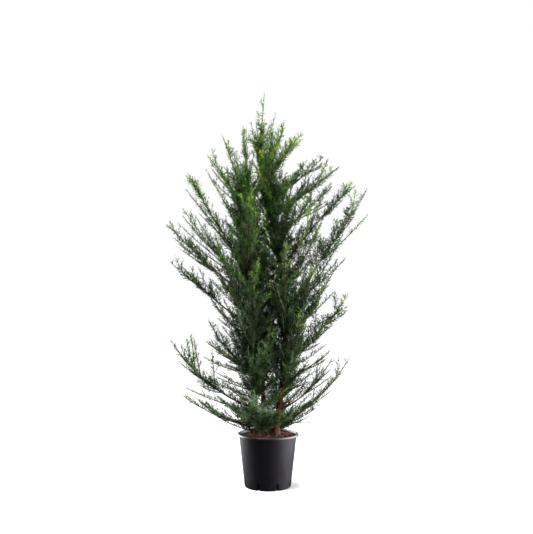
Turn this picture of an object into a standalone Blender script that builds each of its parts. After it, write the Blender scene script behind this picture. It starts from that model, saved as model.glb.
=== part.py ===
"""A young yew with three upright stems in a round black nursery pot.

Metres, +Z up. The origin is at the middle of the pot's flat underside, +X is to the right
and -Y is towards the viewer of the front. The pot is filled with soil, the stems stand on
the soil, the boughs leave the stems, and each mass of foliage goes on from one bough or
from a stem. Every mass keeps to the space nearer its own twig than any other.
"""

import math
import random

import bmesh
import bpy
import numpy as np
from mathutils import Matrix, Vector
from mathutils.bvhtree import BVHTree

# The gap kept between two solids that touch in the real plant
GAP = 0.0003

# Edges flatter than this are shaded smooth, in degrees
SHARP_ANGLE = 35

# Pot, a 24 cm container with a rolled rim and eight drainage slots round its foot
POT_HEIGHT = 0.195
POT_RIM_RADIUS = 0.120
POT_RIM_DEPTH = 0.010
POT_RIM_INSET = 0.001
POT_NECK_RADIUS = 0.1115
POT_FOOT_RADIUS = 0.089
POT_FOOT_CHAMFER = 0.003
POT_WALL = 0.0024
POT_FLOOR = 0.003
POT_SIDES = 36
SLOT_COUNT = 8
SLOT_WIDTH = 0.0095
SLOT_HEIGHT = 0.026
SLOT_UNDER_FOOT = 0.012

# Soil, level where the stems stand and falling a little to the pot's wall
SOIL_TOP = 0.188
SOIL_LEVEL_RADIUS = 0.065
SOIL_FALL = 0.006
SOIL_GAP = 0.0004

# Stems: each knot is the height, the place to the right, the place to the back, the radius
STEMS = {
    "trunk": (
        (0.190, 0.030, 0.000, 0.0125),
        (0.420, 0.060, -0.004, 0.0110),
        (0.620, 0.070, -0.004, 0.0098),
        (0.800, 0.056, 0.000, 0.0086),
        (1.050, 0.016, 0.002, 0.0060),
        (1.270, -0.022, 0.002, 0.0034),
        (1.340, -0.031, 0.001, 0.0026),
    ),
    "back_stem": (
        (0.190, -0.018, 0.026, 0.0085),
        (0.450, -0.022, 0.036, 0.0078),
        (0.750, -0.046, 0.046, 0.0062),
        (1.000, -0.066, 0.048, 0.0046),
        (1.180, -0.084, 0.046, 0.0032),
    ),
    "front_stem": (
        (0.190, -0.042, -0.018, 0.0080),
        (0.450, -0.058, -0.034, 0.0074),
        (0.750, -0.086, -0.048, 0.0058),
        (0.980, -0.104, -0.054, 0.0042),
        (1.150, -0.112, -0.056, 0.0032),
    ),
}
STEM_SIDES = 8
STEM_RING_EVERY = 0.085
ROOT_FLARE = 0.55
ROOT_FLARE_HEIGHT = 0.030
FLARE_RINGS = (0.0, 0.4, 1.0)
FLARE_END = 2.5

# Limbs. Each row is: name, stem, height of the foot on the stem, then for the furthest tip its
# reach from the pot's axis, its direction in degrees (0 right, 90 back, 180 left) and its height,
# and last how early the limb rises: under a half it sags and then turns up, over a half it arches.
# The boughs are bare as far as BARE_SHARE of their way, and their foliage goes on from there.
BOUGHS = (
    ("low_right", "trunk", 0.222, 0.328, 5, 0.480, 0.26),
    ("low_front_right", "trunk", 0.285, 0.274, 330, 0.483, 0.22),
    ("low_left", "front_stem", 0.290, 0.377, 186, 0.548, 0.22),
    ("low_front_left", "front_stem", 0.232, 0.337, 206, 0.355, 0.10),
    ("mid_right", "trunk", 0.485, 0.345, 14, 0.744, 0.30),
    ("mid_left", "front_stem", 0.600, 0.386, 189, 0.853, 0.54),
    ("high_left", "front_stem", 0.720, 0.409, 180, 1.017, 0.50),
    ("high_right", "trunk", 0.660, 0.419, 7, 1.175, 0.54),
)

# Branchlets, in rows of the same kind: foliage that grows straight from a stem, with no bare bough
BRANCHLETS = (
    ("foot_left", "front_stem", 0.222, 0.242, 190, 0.318, 0.06),
    ("foot_right", "trunk", 0.238, 0.232, 30, 0.322, 0.12),
    ("foot_front", "trunk", 0.240, 0.175, 300, 0.300, 0.20),
    ("foot_front_left", "front_stem", 0.240, 0.185, 236, 0.285, 0.16),
    ("low_back", "back_stem", 0.250, 0.300, 62, 0.450, 0.28),
    ("low_front", "front_stem", 0.325, 0.225, 272, 0.604, 0.34),
    ("right_low", "trunk", 0.395, 0.272, 22, 0.500, 0.36),
    ("right_lower_mid", "trunk", 0.465, 0.255, 342, 0.606, 0.44),
    ("right_mid", "trunk", 0.550, 0.266, 352, 0.830, 0.38),
    ("right_front_mid", "trunk", 0.620, 0.330, 328, 0.943, 0.42),
    ("right_back_mid", "trunk", 0.540, 0.300, 48, 0.900, 0.42),
    ("right_upper_mid", "trunk", 0.740, 0.230, 350, 1.050, 0.44),
    ("right_high_front", "trunk", 0.830, 0.357, 340, 1.140, 0.72),
    ("right_high_back", "trunk", 0.960, 0.300, 24, 1.205, 0.56),
    ("right_higher", "trunk", 1.040, 0.291, 351, 1.243, 0.56),
    ("right_highest", "trunk", 1.105, 0.228, 346, 1.280, 0.48),
    ("right_top", "trunk", 1.190, 0.147, 18, 1.412, 0.66),
    ("right_top_front", "trunk", 1.200, 0.078, 330, 1.440, 0.44),
    ("left_low_back", "back_stem", 0.420, 0.283, 155, 0.545, 0.34),
    ("left_lower_mid", "front_stem", 0.420, 0.240, 198, 0.625, 0.36),
    ("left_mid", "back_stem", 0.500, 0.262, 160, 0.740, 0.40),
    ("left_upper_mid", "back_stem", 0.600, 0.250, 172, 0.880, 0.46),
    ("left_high_back", "back_stem", 0.740, 0.380, 163, 1.110, 0.44),
    ("left_high", "front_stem", 0.850, 0.326, 194, 1.207, 0.48),
    ("left_top", "back_stem", 1.040, 0.264, 166, 1.330, 0.66),
    ("front_low", "trunk", 0.360, 0.250, 302, 0.700, 0.38),
    ("front_mid", "front_stem", 0.500, 0.290, 260, 0.820, 0.40),
    ("front_mid_left", "front_stem", 0.620, 0.290, 228, 0.940, 0.42),
    ("front_mid_right", "trunk", 0.560, 0.240, 284, 0.900, 0.42),
    ("front_high", "front_stem", 0.780, 0.285, 258, 1.110, 0.44),
    ("front_high_right", "trunk", 0.860, 0.190, 300, 1.180, 0.44),
    ("front_top", "trunk", 1.060, 0.130, 262, 1.340, 0.44),
    ("back_low", "back_stem", 0.340, 0.300, 124, 0.690, 0.38),
    ("back_mid", "back_stem", 0.520, 0.345, 80, 0.840, 0.40),
    ("back_high", "back_stem", 0.760, 0.340, 90, 1.130, 0.42),
    ("back_top", "trunk", 1.000, 0.160, 92, 1.320, 0.44),
)

# The stems' own tips: name, stem, then the tip's place to the right, to the back and its height
LEADERS = (
    ("leader", "trunk", -0.014, 0.000, 1.576),
    ("back_leader", "back_stem", -0.106, 0.040, 1.456),
    ("front_leader", "front_stem", -0.186, -0.060, 1.377),
)

# How far out a limb's bend is, as a share of its way. The second is how early a stem's tip rises.
BEND_OUT = 0.57
LEADER_RISE = 0.66

# Bare boughs
BARE_SHARE = 0.30
BOUGH_FOOT_RADIUS = 0.0046
BOUGH_END_RADIUS = 0.0028
BOUGH_SIDES = 6
BOUGH_RINGS = 4

# Foliage. A leafy shoot is a closed tube whose rings have long and short points by turns, so that
# it is a slim core with needles standing out of it. Each long point stands for a few needles.
SHOOT_FIRST_RING = 0.35
SHOOT_RAKE = 0.75
SHOOT_WAIST = 0.30
SHOOT_LEAST_WAIST = 0.0022
SHOOT_TAPER = 0.75
REACH_SPREAD = (0.85, 1.1)
REACHES_TRIED = (1.0, 0.85, 0.7, 0.55, 0.4, 0.28)
NEEDLE_MIDDLE = 0.6
SPACE_MARGIN = 0.0015
WOOD_MARGIN = 0.0012
RIM_MARGIN = 0.0035
STEM_SAMPLES = 200
BOUGH_SAMPLES = 40

# A curve's way is taken over this share of it, and its length over this many steps
WAY_STEP = 0.01
LENGTH_STEPS = 20

# The main shoot of a mass, along its twig: how far its needles stand out at its foot and tip
TWIG_FOOT_RADIUS = 0.0028
TWIG_SAMPLES = 60
TWIG_SIDES = 6
TWIG_PITCH = 0.037
TWIG_REACH_ON_BOUGH = 0.034
TWIG_REACH_ON_STEM = 0.050
TWIG_REACH_AT_TIP = 0.017

# The side shoots of a mass, by turns to the left and to the right, the longest near its foot
SIDE_SIDES = 4
SIDE_PITCH = 0.029
SIDE_SPACING = 0.076
SIDE_FIRST = 0.10
SIDE_LAST = 0.86
SIDE_LONGEST = 0.150
SIDE_SHORTEST = 0.070
SIDE_SHARE_OF_REST = 0.72
SIDE_STUB = 0.028
SIDE_REACH = 0.027
SIDE_TIP_REACH = 0.018
SIDE_FOOT_RADIUS = 0.0022
SIDE_BARE = 0.020
SIDE_ANGLE = 42
SIDE_NARROWER_ON_LEFT = 15
SIDE_ROLL = 50
SIDE_ROLL_DOWN = 0.4
SIDE_CURL = 0.22
SIDE_PLACE_SPREAD = (0.1, 0.5)
SIDE_ANGLE_SPREAD = (0.8, 1.2)
SIDE_SIZE_SPREAD = (0.85, 1.1)
SIDE_SIZES_TRIED = (1.0, 0.85, 0.7, 0.55)
SIDE_TESTED_FROM = 0.25
SIDE_TESTS = 9
LEADER_SIDE_SHARE = 0.45

# Where the chance begins: for the needles of each mass, and for the plan of its side shoots
SEED = 11000
SIDE_SEED = 500

BLACK_PLASTIC = ("black_plastic", (0.018, 0.018, 0.020), 0.42)
SOIL = ("soil", (0.060, 0.034, 0.022), 0.95)
BARK = ("bark", (0.120, 0.050, 0.030), 0.85)
NEEDLES = ("needles", (0.035, 0.095, 0.022), 0.60)


def clear_scene():
    for old in list(bpy.data.objects):
        bpy.data.objects.remove(old, do_unlink=True)


def material(finish):
    """The Principled material of this name, made once."""
    name, colour, roughness = finish
    found = bpy.data.materials.get(name)
    if found:
        return found
    made = bpy.data.materials.new(name)
    made.use_nodes = True
    shader = made.node_tree.nodes["Principled BSDF"]
    shader.inputs["Base Color"].default_value = (*colour, 1.0)
    shader.inputs["Roughness"].default_value = roughness
    shader.inputs["Metallic"].default_value = 0.0
    made.diffuse_color = (*colour, 1.0)
    return made


def new_object(name, points, faces, finish, smooth=False):
    """A mesh object whose faces point outwards."""
    mesh = bpy.data.meshes.new(name)
    mesh.from_pydata([tuple(p) for p in points], [], faces)
    shape = bmesh.new()
    shape.from_mesh(mesh)
    bmesh.ops.recalc_face_normals(shape, faces=shape.faces)
    shape.to_mesh(mesh)
    shape.free()
    mesh.materials.append(material(finish))
    if smooth:
        mesh.shade_smooth()
        mesh.set_sharp_from_angle(angle=math.radians(SHARP_ANGLE))
    made = bpy.data.objects.new(name, mesh)
    bpy.context.scene.collection.objects.link(made)
    return made


def lathe(profile, sides):
    """Points and faces of a profile of (radius, height), turned round +Z from axis to axis."""
    points, rings, faces = [], [], []
    for radius, height in profile:
        count = sides if radius > 0 else 1
        rings.append([len(points) + k for k in range(count)])
        for k in range(count):
            turn = 2 * math.pi * k / sides
            points.append((radius * math.cos(turn), radius * math.sin(turn), height))
    for low, high in zip(rings, rings[1:]):
        for k in range(sides):
            near, far = k, (k + 1) % sides
            if len(low) == 1:
                faces.append((low[0], high[near], high[far]))
            elif len(high) == 1:
                faces.append((low[near], low[far], high[0]))
            else:
                faces.append((low[near], low[far], high[far], high[near]))
    return points, faces


def tube(centres, radii, sides, level=False):
    """Points and faces of a closed tube with one ring at each centre. Level rings lie flat."""
    points, faces = [], []
    side_way = None
    for k, (centre, radius) in enumerate(zip(centres, radii)):
        along = (centres[min(k + 1, len(centres) - 1)] - centres[max(k - 1, 0)]).normalized()
        if level:
            along = Vector((0, 0, 1))
        if side_way is None:
            side_way = along.orthogonal()
        side_way = (side_way - along * side_way.dot(along)).normalized()
        up_way = along.cross(side_way)
        for s in range(sides):
            turn = 2 * math.pi * s / sides
            points.append(centre + radius * (math.cos(turn) * side_way + math.sin(turn) * up_way))
    for k in range(len(centres) - 1):
        for s in range(sides):
            near, far = k * sides + s, k * sides + (s + 1) % sides
            faces.append((near, far, far + sides, near + sides))
    faces.append(tuple(range(sides)))
    faces.append(tuple(range(len(points) - sides, len(points))))
    return points, faces


def apply_modifiers(shape):
    graph = bpy.context.evaluated_depsgraph_get()
    baked = bpy.data.meshes.new_from_object(shape.evaluated_get(graph))
    old = shape.data
    shape.modifiers.clear()
    shape.data = baked
    bpy.data.meshes.remove(old)


def cut(shape, cutters):
    """Takes the cutters out of the shape and removes them."""
    for cutter in cutters:
        boolean = shape.modifiers.new("cut", "BOOLEAN")
        boolean.operation = "DIFFERENCE"
        boolean.solver = "EXACT"
        boolean.object = cutter
    apply_modifiers(shape)
    for cutter in cutters:
        bpy.data.objects.remove(cutter, do_unlink=True)


def fuse(shape, others):
    """Joins the others into the shape by one Boolean on a collection, and removes them."""
    group = bpy.data.collections.new("to_fuse")
    bpy.context.scene.collection.children.link(group)
    for other in others:
        group.objects.link(other)
        bpy.context.scene.collection.objects.unlink(other)
    boolean = shape.modifiers.new("fuse", "BOOLEAN")
    boolean.operation = "UNION"
    boolean.solver = "EXACT"
    boolean.operand_type = "COLLECTION"
    boolean.collection = group
    apply_modifiers(shape)
    for other in others:
        bpy.data.objects.remove(other, do_unlink=True)
    bpy.data.collections.remove(group)


def keep_main_shell(shape):
    """Drops loose scraps and the walls of sealed hollows, so that one closed shell is left."""
    mesh = bmesh.new()
    mesh.from_mesh(shape.data)
    bmesh.ops.triangulate(mesh, faces=mesh.faces)
    unseen, shells = set(mesh.verts), []
    while unseen:
        shell, edge = set(), [next(iter(unseen))]
        while edge:
            vert = edge.pop()
            if vert in shell:
                continue
            shell.add(vert)
            edge.extend(e.other_vert(vert) for e in vert.link_edges)
        unseen -= shell
        shells.append(shell)
    main = max(shells, key=len)
    loose = [v for shell in shells if shell is not main for v in shell]
    bmesh.ops.delete(mesh, geom=loose, context="VERTS")
    mesh.to_mesh(shape.data)
    mesh.free()


def pot_profile():
    """From the middle of the underside, up the outside, over the rolled rim and down the inside."""
    foot, top = POT_FOOT_RADIUS, POT_HEIGHT
    slope = (POT_NECK_RADIUS - foot) / (top - POT_RIM_DEPTH)
    profile = [(0, 0), (foot - POT_FOOT_CHAMFER, 0), (foot, POT_FOOT_CHAMFER)]
    profile.append((POT_NECK_RADIUS, top - POT_RIM_DEPTH))
    roll = (POT_RIM_RADIUS - POT_NECK_RADIUS + POT_WALL) / 2
    middle = POT_RIM_RADIUS - roll
    profile.append((POT_RIM_RADIUS - POT_RIM_INSET, top - POT_RIM_DEPTH))
    for degrees in (0, 45, 90, 135):
        turn = math.radians(degrees)
        profile.append((middle + roll * math.cos(turn), top - roll + roll * math.sin(turn)))
    inner_top = POT_NECK_RADIUS - POT_WALL
    profile.append((inner_top, top - POT_RIM_DEPTH))
    profile.append((foot - POT_WALL + slope * POT_FLOOR, POT_FLOOR))
    profile.append((0, POT_FLOOR))
    return profile


def slot_cutters():
    """Upright blocks through the wall and the edge of the underside, evenly round the pot."""
    cutters = []
    for k in range(SLOT_COUNT):
        turn = math.radians(360 * (k + 0.5) / SLOT_COUNT)
        deep = SLOT_UNDER_FOOT + POT_WALL + POT_FOOT_CHAMFER
        middle = POT_FOOT_RADIUS + deep / 2 - SLOT_UNDER_FOOT
        mesh = bpy.data.meshes.new("slot")
        shape = bmesh.new()
        bmesh.ops.create_cube(shape, size=1.0)
        size = Matrix.Diagonal((deep, SLOT_WIDTH, 2 * SLOT_HEIGHT, 1))
        place = Matrix.Rotation(turn, 4, "Z") @ Matrix.Translation((middle, 0, 0)) @ size
        bmesh.ops.transform(shape, matrix=place, verts=shape.verts)
        shape.to_mesh(mesh)
        shape.free()
        cutter = bpy.data.objects.new("slot", mesh)
        bpy.context.scene.collection.objects.link(cutter)
        cutters.append(cutter)
    return cutters


def make_pot():
    pot = new_object("pot", *lathe(pot_profile(), POT_SIDES), BLACK_PLASTIC)
    cut(pot, slot_cutters())
    pot.data.shade_smooth()
    pot.data.set_sharp_from_angle(angle=math.radians(SHARP_ANGLE))


def make_soil():
    """The soil fills the pot to just under its rim, and stands just clear of its wall."""
    slope = (POT_NECK_RADIUS - POT_FOOT_RADIUS) / (POT_HEIGHT - POT_RIM_DEPTH)
    clear = POT_WALL + SOIL_GAP
    foot_height, edge_height = POT_FLOOR + GAP, SOIL_TOP - SOIL_FALL
    profile = (
        (0, foot_height),
        (POT_FOOT_RADIUS - clear + slope * foot_height, foot_height),
        (POT_FOOT_RADIUS - clear + slope * edge_height, edge_height),
        (SOIL_LEVEL_RADIUS, SOIL_TOP),
        (0, SOIL_TOP),
    )
    new_object("soil", *lathe(profile, POT_SIDES), SOIL)


def stem_at(stem, height):
    """The stem's centre and radius at this height: a smooth curve through its knots."""
    knots = STEMS[stem]
    k = max(i for i in range(len(knots) - 1) if i == 0 or knots[i][0] <= height)
    before, start = knots[max(k - 1, 0)], knots[k]
    end, after = knots[k + 1], knots[min(k + 2, len(knots) - 1)]
    span = end[0] - start[0]
    t = (height - start[0]) / span
    found = []
    for axis in (1, 2, 3):
        leave = (end[axis] - before[axis]) / (end[0] - before[0]) * span
        arrive = (after[axis] - start[axis]) / (after[0] - start[0]) * span
        found.append(
            (2 * t**3 - 3 * t**2 + 1) * start[axis]
            + (t**3 - 2 * t**2 + t) * leave
            + (3 * t**2 - 2 * t**3) * end[axis]
            + (t**3 - t**2) * arrive
        )
    across, back, radius = found
    above = height - STEMS[stem][0][0]
    flare = 1 + ROOT_FLARE * math.exp(-max(above, 0) / ROOT_FLARE_HEIGHT)
    return Vector((across, back, height)), radius * flare


def stem_heights(stem):
    """Ring heights, close together in the root flare and even above it."""
    foot, top = SOIL_TOP + GAP, STEMS[stem][-1][0]
    start = foot + FLARE_END * ROOT_FLARE_HEIGHT
    count = round((top - start) / STEM_RING_EVERY)
    even = [start + (top - start) * k / count for k in range(count + 1)]
    return [foot + share * ROOT_FLARE_HEIGHT for share in FLARE_RINGS] + even


def stem_tube(stem, grown=0.0):
    """The stem's rings, all level, with the radius grown for use as a cutter."""
    rings = [stem_at(stem, height) for height in stem_heights(stem)]
    centres = [centre for centre, _ in rings]
    if grown:
        centres[0] = centres[0] - Vector((0, 0, GAP))
        centres[-1] = centres[-1] + Vector((0, 0, GAP))
    grown /= math.cos(math.pi / STEM_SIDES)
    return tube(centres, [radius + grown for _, radius in rings], STEM_SIDES, level=True)


def make_stems():
    for stem in STEMS:
        new_object(stem, *stem_tube(stem), BARK, smooth=True)


def limb_curve(foot, tip, rise):
    """A function of t from 0 to 1: the curve from foot to tip, bent at this share of its rise."""
    way = tip - foot
    bend = foot + Vector((way.x * BEND_OUT, way.y * BEND_OUT, way.z * rise))

    def place(t):
        return (1 - t) ** 2 * foot + 2 * t * (1 - t) * bend + t**2 * tip

    return place


def limb_table():
    """Every limb as a dict: name, stem, curve, and the share of its way that is bare."""
    limbs = []
    for rows, bare in ((BOUGHS, BARE_SHARE), (BRANCHLETS, 0.0)):
        for name, stem, foot_height, reach, degrees, tip_height, rise in rows:
            foot, _ = stem_at(stem, foot_height)
            turn = math.radians(degrees)
            tip = Vector((reach * math.cos(turn), reach * math.sin(turn), tip_height))
            curve = limb_curve(foot, tip, rise)
            limbs.append({"name": name, "stem": stem, "curve": curve, "bare": bare})
    for name, stem, across, back, height in LEADERS:
        foot, _ = stem_at(stem, STEMS[stem][-1][0])
        foot.z += GAP
        curve = limb_curve(foot, Vector((across, back, height)), LEADER_RISE)
        limbs.append({"name": name, "stem": stem, "curve": curve, "bare": 0.0})
    return limbs


def curve_points(limb, start, end, count):
    return [limb["curve"](start + (end - start) * k / (count - 1)) for k in range(count)]


def way_at(place, share):
    """The unit way that a curve runs at this share of it."""
    return (place(share + WAY_STEP) - place(share)).normalized()


def bough_radius(share):
    return BOUGH_FOOT_RADIUS + (BOUGH_END_RADIUS - BOUGH_FOOT_RADIUS) * share


def bough_tube(limb, grown=0.0):
    """The bough's rings, with the radius grown for use as a cutter."""
    centres = curve_points(limb, 0.0, limb["bare"], BOUGH_RINGS)
    grown /= math.cos(math.pi / BOUGH_SIDES)
    radii = [bough_radius(k / (BOUGH_RINGS - 1)) + grown for k in range(BOUGH_RINGS)]
    return tube(centres, radii, BOUGH_SIDES)


def make_bough(limb):
    """One bare tapering limb. Its foot is cut to the stem's surface."""
    bough = new_object("bough_" + limb["name"], *bough_tube(limb), BARK)
    cut(bough, [new_object("stem_room", *stem_tube(limb["stem"], GAP), BARK)])
    keep_main_shell(bough)


def twig_points(limb):
    """The points of the twig in the limb's foliage, and the share of the curve where it starts."""
    start = limb["bare"]
    if limb["bare"]:
        step = limb["curve"](start + WAY_STEP) - limb["curve"](start)
        start += GAP * WAY_STEP / step.length
    return curve_points(limb, start, 1.0, TWIG_SAMPLES), start


def distance(points, others):
    """The least distance from each point to any of the others."""
    apart = points[:, None, :] - others[None, :, :]
    return np.sqrt((apart**2).sum(axis=2)).min(axis=1)


def room_map(limbs):
    """What each mass has to keep clear of: the other masses' twigs, and all wood as points and radii."""
    twigs = {}
    for limb in limbs:
        twigs[limb["name"]] = np.array([tuple(p) for p in twig_points(limb)[0]])
    wood, radii = [], []
    for stem in STEMS:
        foot, top = SOIL_TOP, STEMS[stem][-1][0]
        for k in range(STEM_SAMPLES):
            centre, radius = stem_at(stem, foot + (top - foot) * k / (STEM_SAMPLES - 1))
            wood.append(tuple(centre))
            radii.append(radius)
    for limb in limbs:
        if limb["bare"]:
            for k, point in enumerate(curve_points(limb, 0.0, limb["bare"], BOUGH_SAMPLES)):
                wood.append(tuple(point))
                radii.append(bough_radius(k / (BOUGH_SAMPLES - 1)))
    return {"twigs": twigs, "wood": np.array(wood), "radii": np.array(radii)}


def is_free(points, limb, room, margin=0.0):
    """For each point: is it nearer this limb's twig than any other, and clear of pot and wood?"""
    places = np.array([tuple(p) for p in points])
    own = distance(places, room["twigs"][limb["name"]]) + 2 * (SPACE_MARGIN + margin)
    free = places[:, 2] > POT_HEIGHT + RIM_MARGIN + margin
    for name, twig in room["twigs"].items():
        if name != limb["name"]:
            free &= distance(places, twig) > own
    apart = np.sqrt(((places[:, None, :] - room["wood"][None, :, :]) ** 2).sum(axis=2))
    clear = (apart - room["radii"][None, :]).min(axis=1)
    return free & (clear > WOOD_MARGIN + margin)


def free_reach(foot, way, reach, limb, room):
    """The longest of the reaches tried at which a needle from foot along way stays free, or 0."""
    ends = [foot + way * (reach * share) for share in REACHES_TRIED]
    middles = [foot + way * (NEEDLE_MIDDLE * reach * share) for share in REACHES_TRIED]
    free = is_free(ends, limb, room) & is_free(middles, limb, room)
    for share, fits in zip(REACHES_TRIED, free):
        if fits:
            return reach * share
    return 0.0


def shoot_mesh(place, length, kind, limb, room, dice):
    """A leafy shoot along the curve place(0 to 1): the foot, the rings of needles, the tip."""
    sides, pitch, bare, foot_radius, reaches = kind
    count = max(2, round((length - bare) / pitch))
    shares = [(bare + (length - bare) * (k + SHOOT_FIRST_RING) / count) / length for k in range(count)]
    points, faces = [], []
    start_turn = dice.uniform(0, math.pi)
    side_way = way_at(place, 0.0).orthogonal()
    for k, share in enumerate([0.0, *shares]):
        centre = place(share)
        along = way_at(place, share)
        side_way = (side_way - along * side_way.dot(along)).normalized()
        up_way = along.cross(side_way)
        reach = reaches[0] + (reaches[1] - reaches[0]) * share
        reach = min(reach, SHOOT_TAPER * (1 - share) * length)
        for s in range(sides):
            turn = start_turn + 2 * math.pi * s / sides
            out = math.cos(turn) * side_way + math.sin(turn) * up_way
            if k == 0:
                points.append(centre + foot_radius * out)
                continue
            waist = max(SHOOT_WAIST * reach, SHOOT_LEAST_WAIST)
            is_needle = (s + k) % 2
            if is_needle:
                out = out + along * SHOOT_RAKE
                wanted = reach * dice.uniform(*REACH_SPREAD)
            else:
                wanted = waist
            found = free_reach(centre, out, wanted, limb, room)
            points.append(centre + out * max(found, SHOOT_LEAST_WAIST))
    points.append(place(1.0))
    tip = len(points) - 1
    faces.append(tuple(range(sides)))
    for k in range(count):
        for s in range(sides):
            near, far = k * sides + s, k * sides + (s + 1) % sides
            near_up, far_up = near + sides, far + sides
            if (s + k) % 2:
                faces.extend([(near, far, near_up), (far, far_up, near_up)])
            else:
                faces.extend([(near, far, far_up), (near, far_up, near_up)])
    last = count * sides
    for s in range(sides):
        faces.append((last + s, last + (s + 1) % sides, tip))
    return points, faces


def curve_length(place):
    steps = [place(k / LENGTH_STEPS) for k in range(LENGTH_STEPS + 1)]
    return sum((far - near).length for near, far in zip(steps, steps[1:]))


def part_of(place, start, end):
    """The stretch of a curve from start to end, as a curve of its own."""

    def stretch(t):
        return place(start + (end - start) * t)

    return stretch


def side_shoot_curve(root, way, length):
    """A side shoot's curve: it leaves along way and curls upwards."""
    bend = root + way * (0.5 * length)
    tip = root + (way * (1 - SIDE_CURL) + Vector((0, 0, SIDE_CURL))).normalized() * length

    def place(t):
        return (1 - t) ** 2 * root + 2 * t * (1 - t) * bend + t**2 * tip

    return place


def side_angle(limb):
    """How far side shoots stand off this limb: less on the left, where the shoots run together."""
    way = limb["curve"](1.0) - limb["curve"](0.0)
    leftness = max(0.0, -way.x / math.hypot(way.x, way.y))
    return SIDE_ANGLE - SIDE_NARROWER_ON_LEFT * leftness


def side_shoot_plan(limb, place, length, dice):
    """Where the side shoots of one limb stand: (root, direction, length), from foot to tip."""
    count = max(2, round(length * (SIDE_LAST - SIDE_FIRST) / SIDE_SPACING))
    share_of_size = LEADER_SIDE_SHARE if limb["name"].endswith("leader") else 1.0
    plan = []
    for k in range(count):
        step = k + dice.uniform(*SIDE_PLACE_SPREAD)
        t = SIDE_FIRST + (SIDE_LAST - SIDE_FIRST) * step / count
        along = way_at(place, t)
        across = along.cross(Vector((0, 0, 1))).normalized()
        upward = across.cross(along)
        side = 1 if k % 2 else -1
        roll = math.radians(dice.uniform(-SIDE_ROLL_DOWN * SIDE_ROLL, SIDE_ROLL))
        sideways = across * (side * math.cos(roll)) + upward * math.sin(roll)
        angle = math.radians(side_angle(limb) * dice.uniform(*SIDE_ANGLE_SPREAD))
        way = (along * math.cos(angle) + sideways * math.sin(angle)).normalized()
        size = SIDE_LONGEST + (SIDE_SHORTEST - SIDE_LONGEST) * t
        size = min(size, SIDE_SHARE_OF_REST * (1 - t) * length + SIDE_STUB)
        plan.append((place(t), way, size * dice.uniform(*SIDE_SIZE_SPREAD) * share_of_size))
    return plan


def make_side_shoots(limb, plan, room, dice):
    """The side shoots that fit in the limb's own space, shorter where room is short."""
    shoots = []
    for root, way, size in plan:
        for share in SIDE_SIZES_TRIED:
            length = size * share
            place = side_shoot_curve(root, way, length)
            step = (1 - SIDE_TESTED_FROM) / (SIDE_TESTS - 1)
            axis = [place(SIDE_TESTED_FROM + step * k) for k in range(SIDE_TESTS)]
            if is_free(axis, limb, room, margin=SHOOT_LEAST_WAIST).all():
                reaches = (SIDE_REACH, SIDE_TIP_REACH)
                kind = (SIDE_SIDES, SIDE_PITCH, SIDE_BARE, SIDE_FOOT_RADIUS, reaches)
                shape = shoot_mesh(place, length, kind, limb, room, dice)
                shoots.append(new_object("side_shoot", *shape, NEEDLES))
                break
    return shoots


def boughs_met(shape, limb, limbs):
    """The other limbs whose bare boughs the shape runs into."""
    tree = BVHTree.FromPolygons(
        [tuple(v.co) for v in shape.data.vertices],
        [tuple(face.vertices) for face in shape.data.polygons],
    )
    met = []
    for other in limbs:
        if other["bare"] and other is not limb:
            if tree.overlap(BVHTree.FromPolygons(*bough_tube(other, GAP))):
                met.append(other)
    return met


def make_foliage(number, limb, limbs, room):
    """One mass: a leafy main shoot along the twig, with its side shoots fused on."""
    dice = random.Random(SEED + number)
    _, start = twig_points(limb)
    place = part_of(limb["curve"], start, 1.0)
    length = curve_length(place)
    foot_reach = TWIG_REACH_ON_BOUGH if limb["bare"] else TWIG_REACH_ON_STEM
    kind = (TWIG_SIDES, TWIG_PITCH, 0.0, TWIG_FOOT_RADIUS, (foot_reach, TWIG_REACH_AT_TIP))
    shape = shoot_mesh(place, length, kind, limb, room, dice)
    foliage = new_object("foliage_" + limb["name"], *shape, NEEDLES)
    plan = side_shoot_plan(limb, place, length, random.Random(SIDE_SEED + number))
    side_shoots = make_side_shoots(limb, plan, room, dice)
    if side_shoots:
        fuse(foliage, side_shoots)
    for other in boughs_met(foliage, limb, limbs):
        cut(foliage, [new_object("bough_room", *bough_tube(other, GAP), BARK)])
    if not limb["bare"]:
        cut(foliage, [new_object("stem_room", *stem_tube(limb["stem"], GAP), BARK)])
    keep_main_shell(foliage)


def main():
    clear_scene()
    make_pot()
    make_soil()
    make_stems()
    limbs = limb_table()
    room = room_map(limbs)
    for number, limb in enumerate(limbs):
        if limb["bare"]:
            make_bough(limb)
        make_foliage(number, limb, limbs, room)


main()
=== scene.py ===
"""The looks of a young yew with three stems in a round black nursery pot.

Laid out as an add-on and run as a script. Metres, +Z up, -Y towards the viewer of the front.
The pot, the soil and the wood are finer meshes over the plain solids. Each mass of foliage is
grown again from its limb by the source's rule, carried on to finer shoots and to needles.
"""

import math
import random

import bmesh
import bpy
import numpy as np
from mathutils import Matrix, Vector, noise


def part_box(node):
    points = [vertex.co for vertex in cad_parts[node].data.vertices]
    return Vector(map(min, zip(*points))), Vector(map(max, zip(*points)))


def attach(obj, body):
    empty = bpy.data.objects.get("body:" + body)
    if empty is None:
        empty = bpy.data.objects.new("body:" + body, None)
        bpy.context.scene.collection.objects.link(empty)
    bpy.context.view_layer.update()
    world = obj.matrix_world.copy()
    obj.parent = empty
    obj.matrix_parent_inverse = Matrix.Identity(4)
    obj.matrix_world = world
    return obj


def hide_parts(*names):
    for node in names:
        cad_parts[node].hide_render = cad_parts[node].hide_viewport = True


bl_info = {
    "name": "Potted yew",
    "version": (1, 0, 0),
    "blender": (4, 5, 0),
    "location": "3D View > Sidebar > Yew",
    "description": "Builds a young yew with three stems in a round nursery pot",
    "category": "Object",
}

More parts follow.
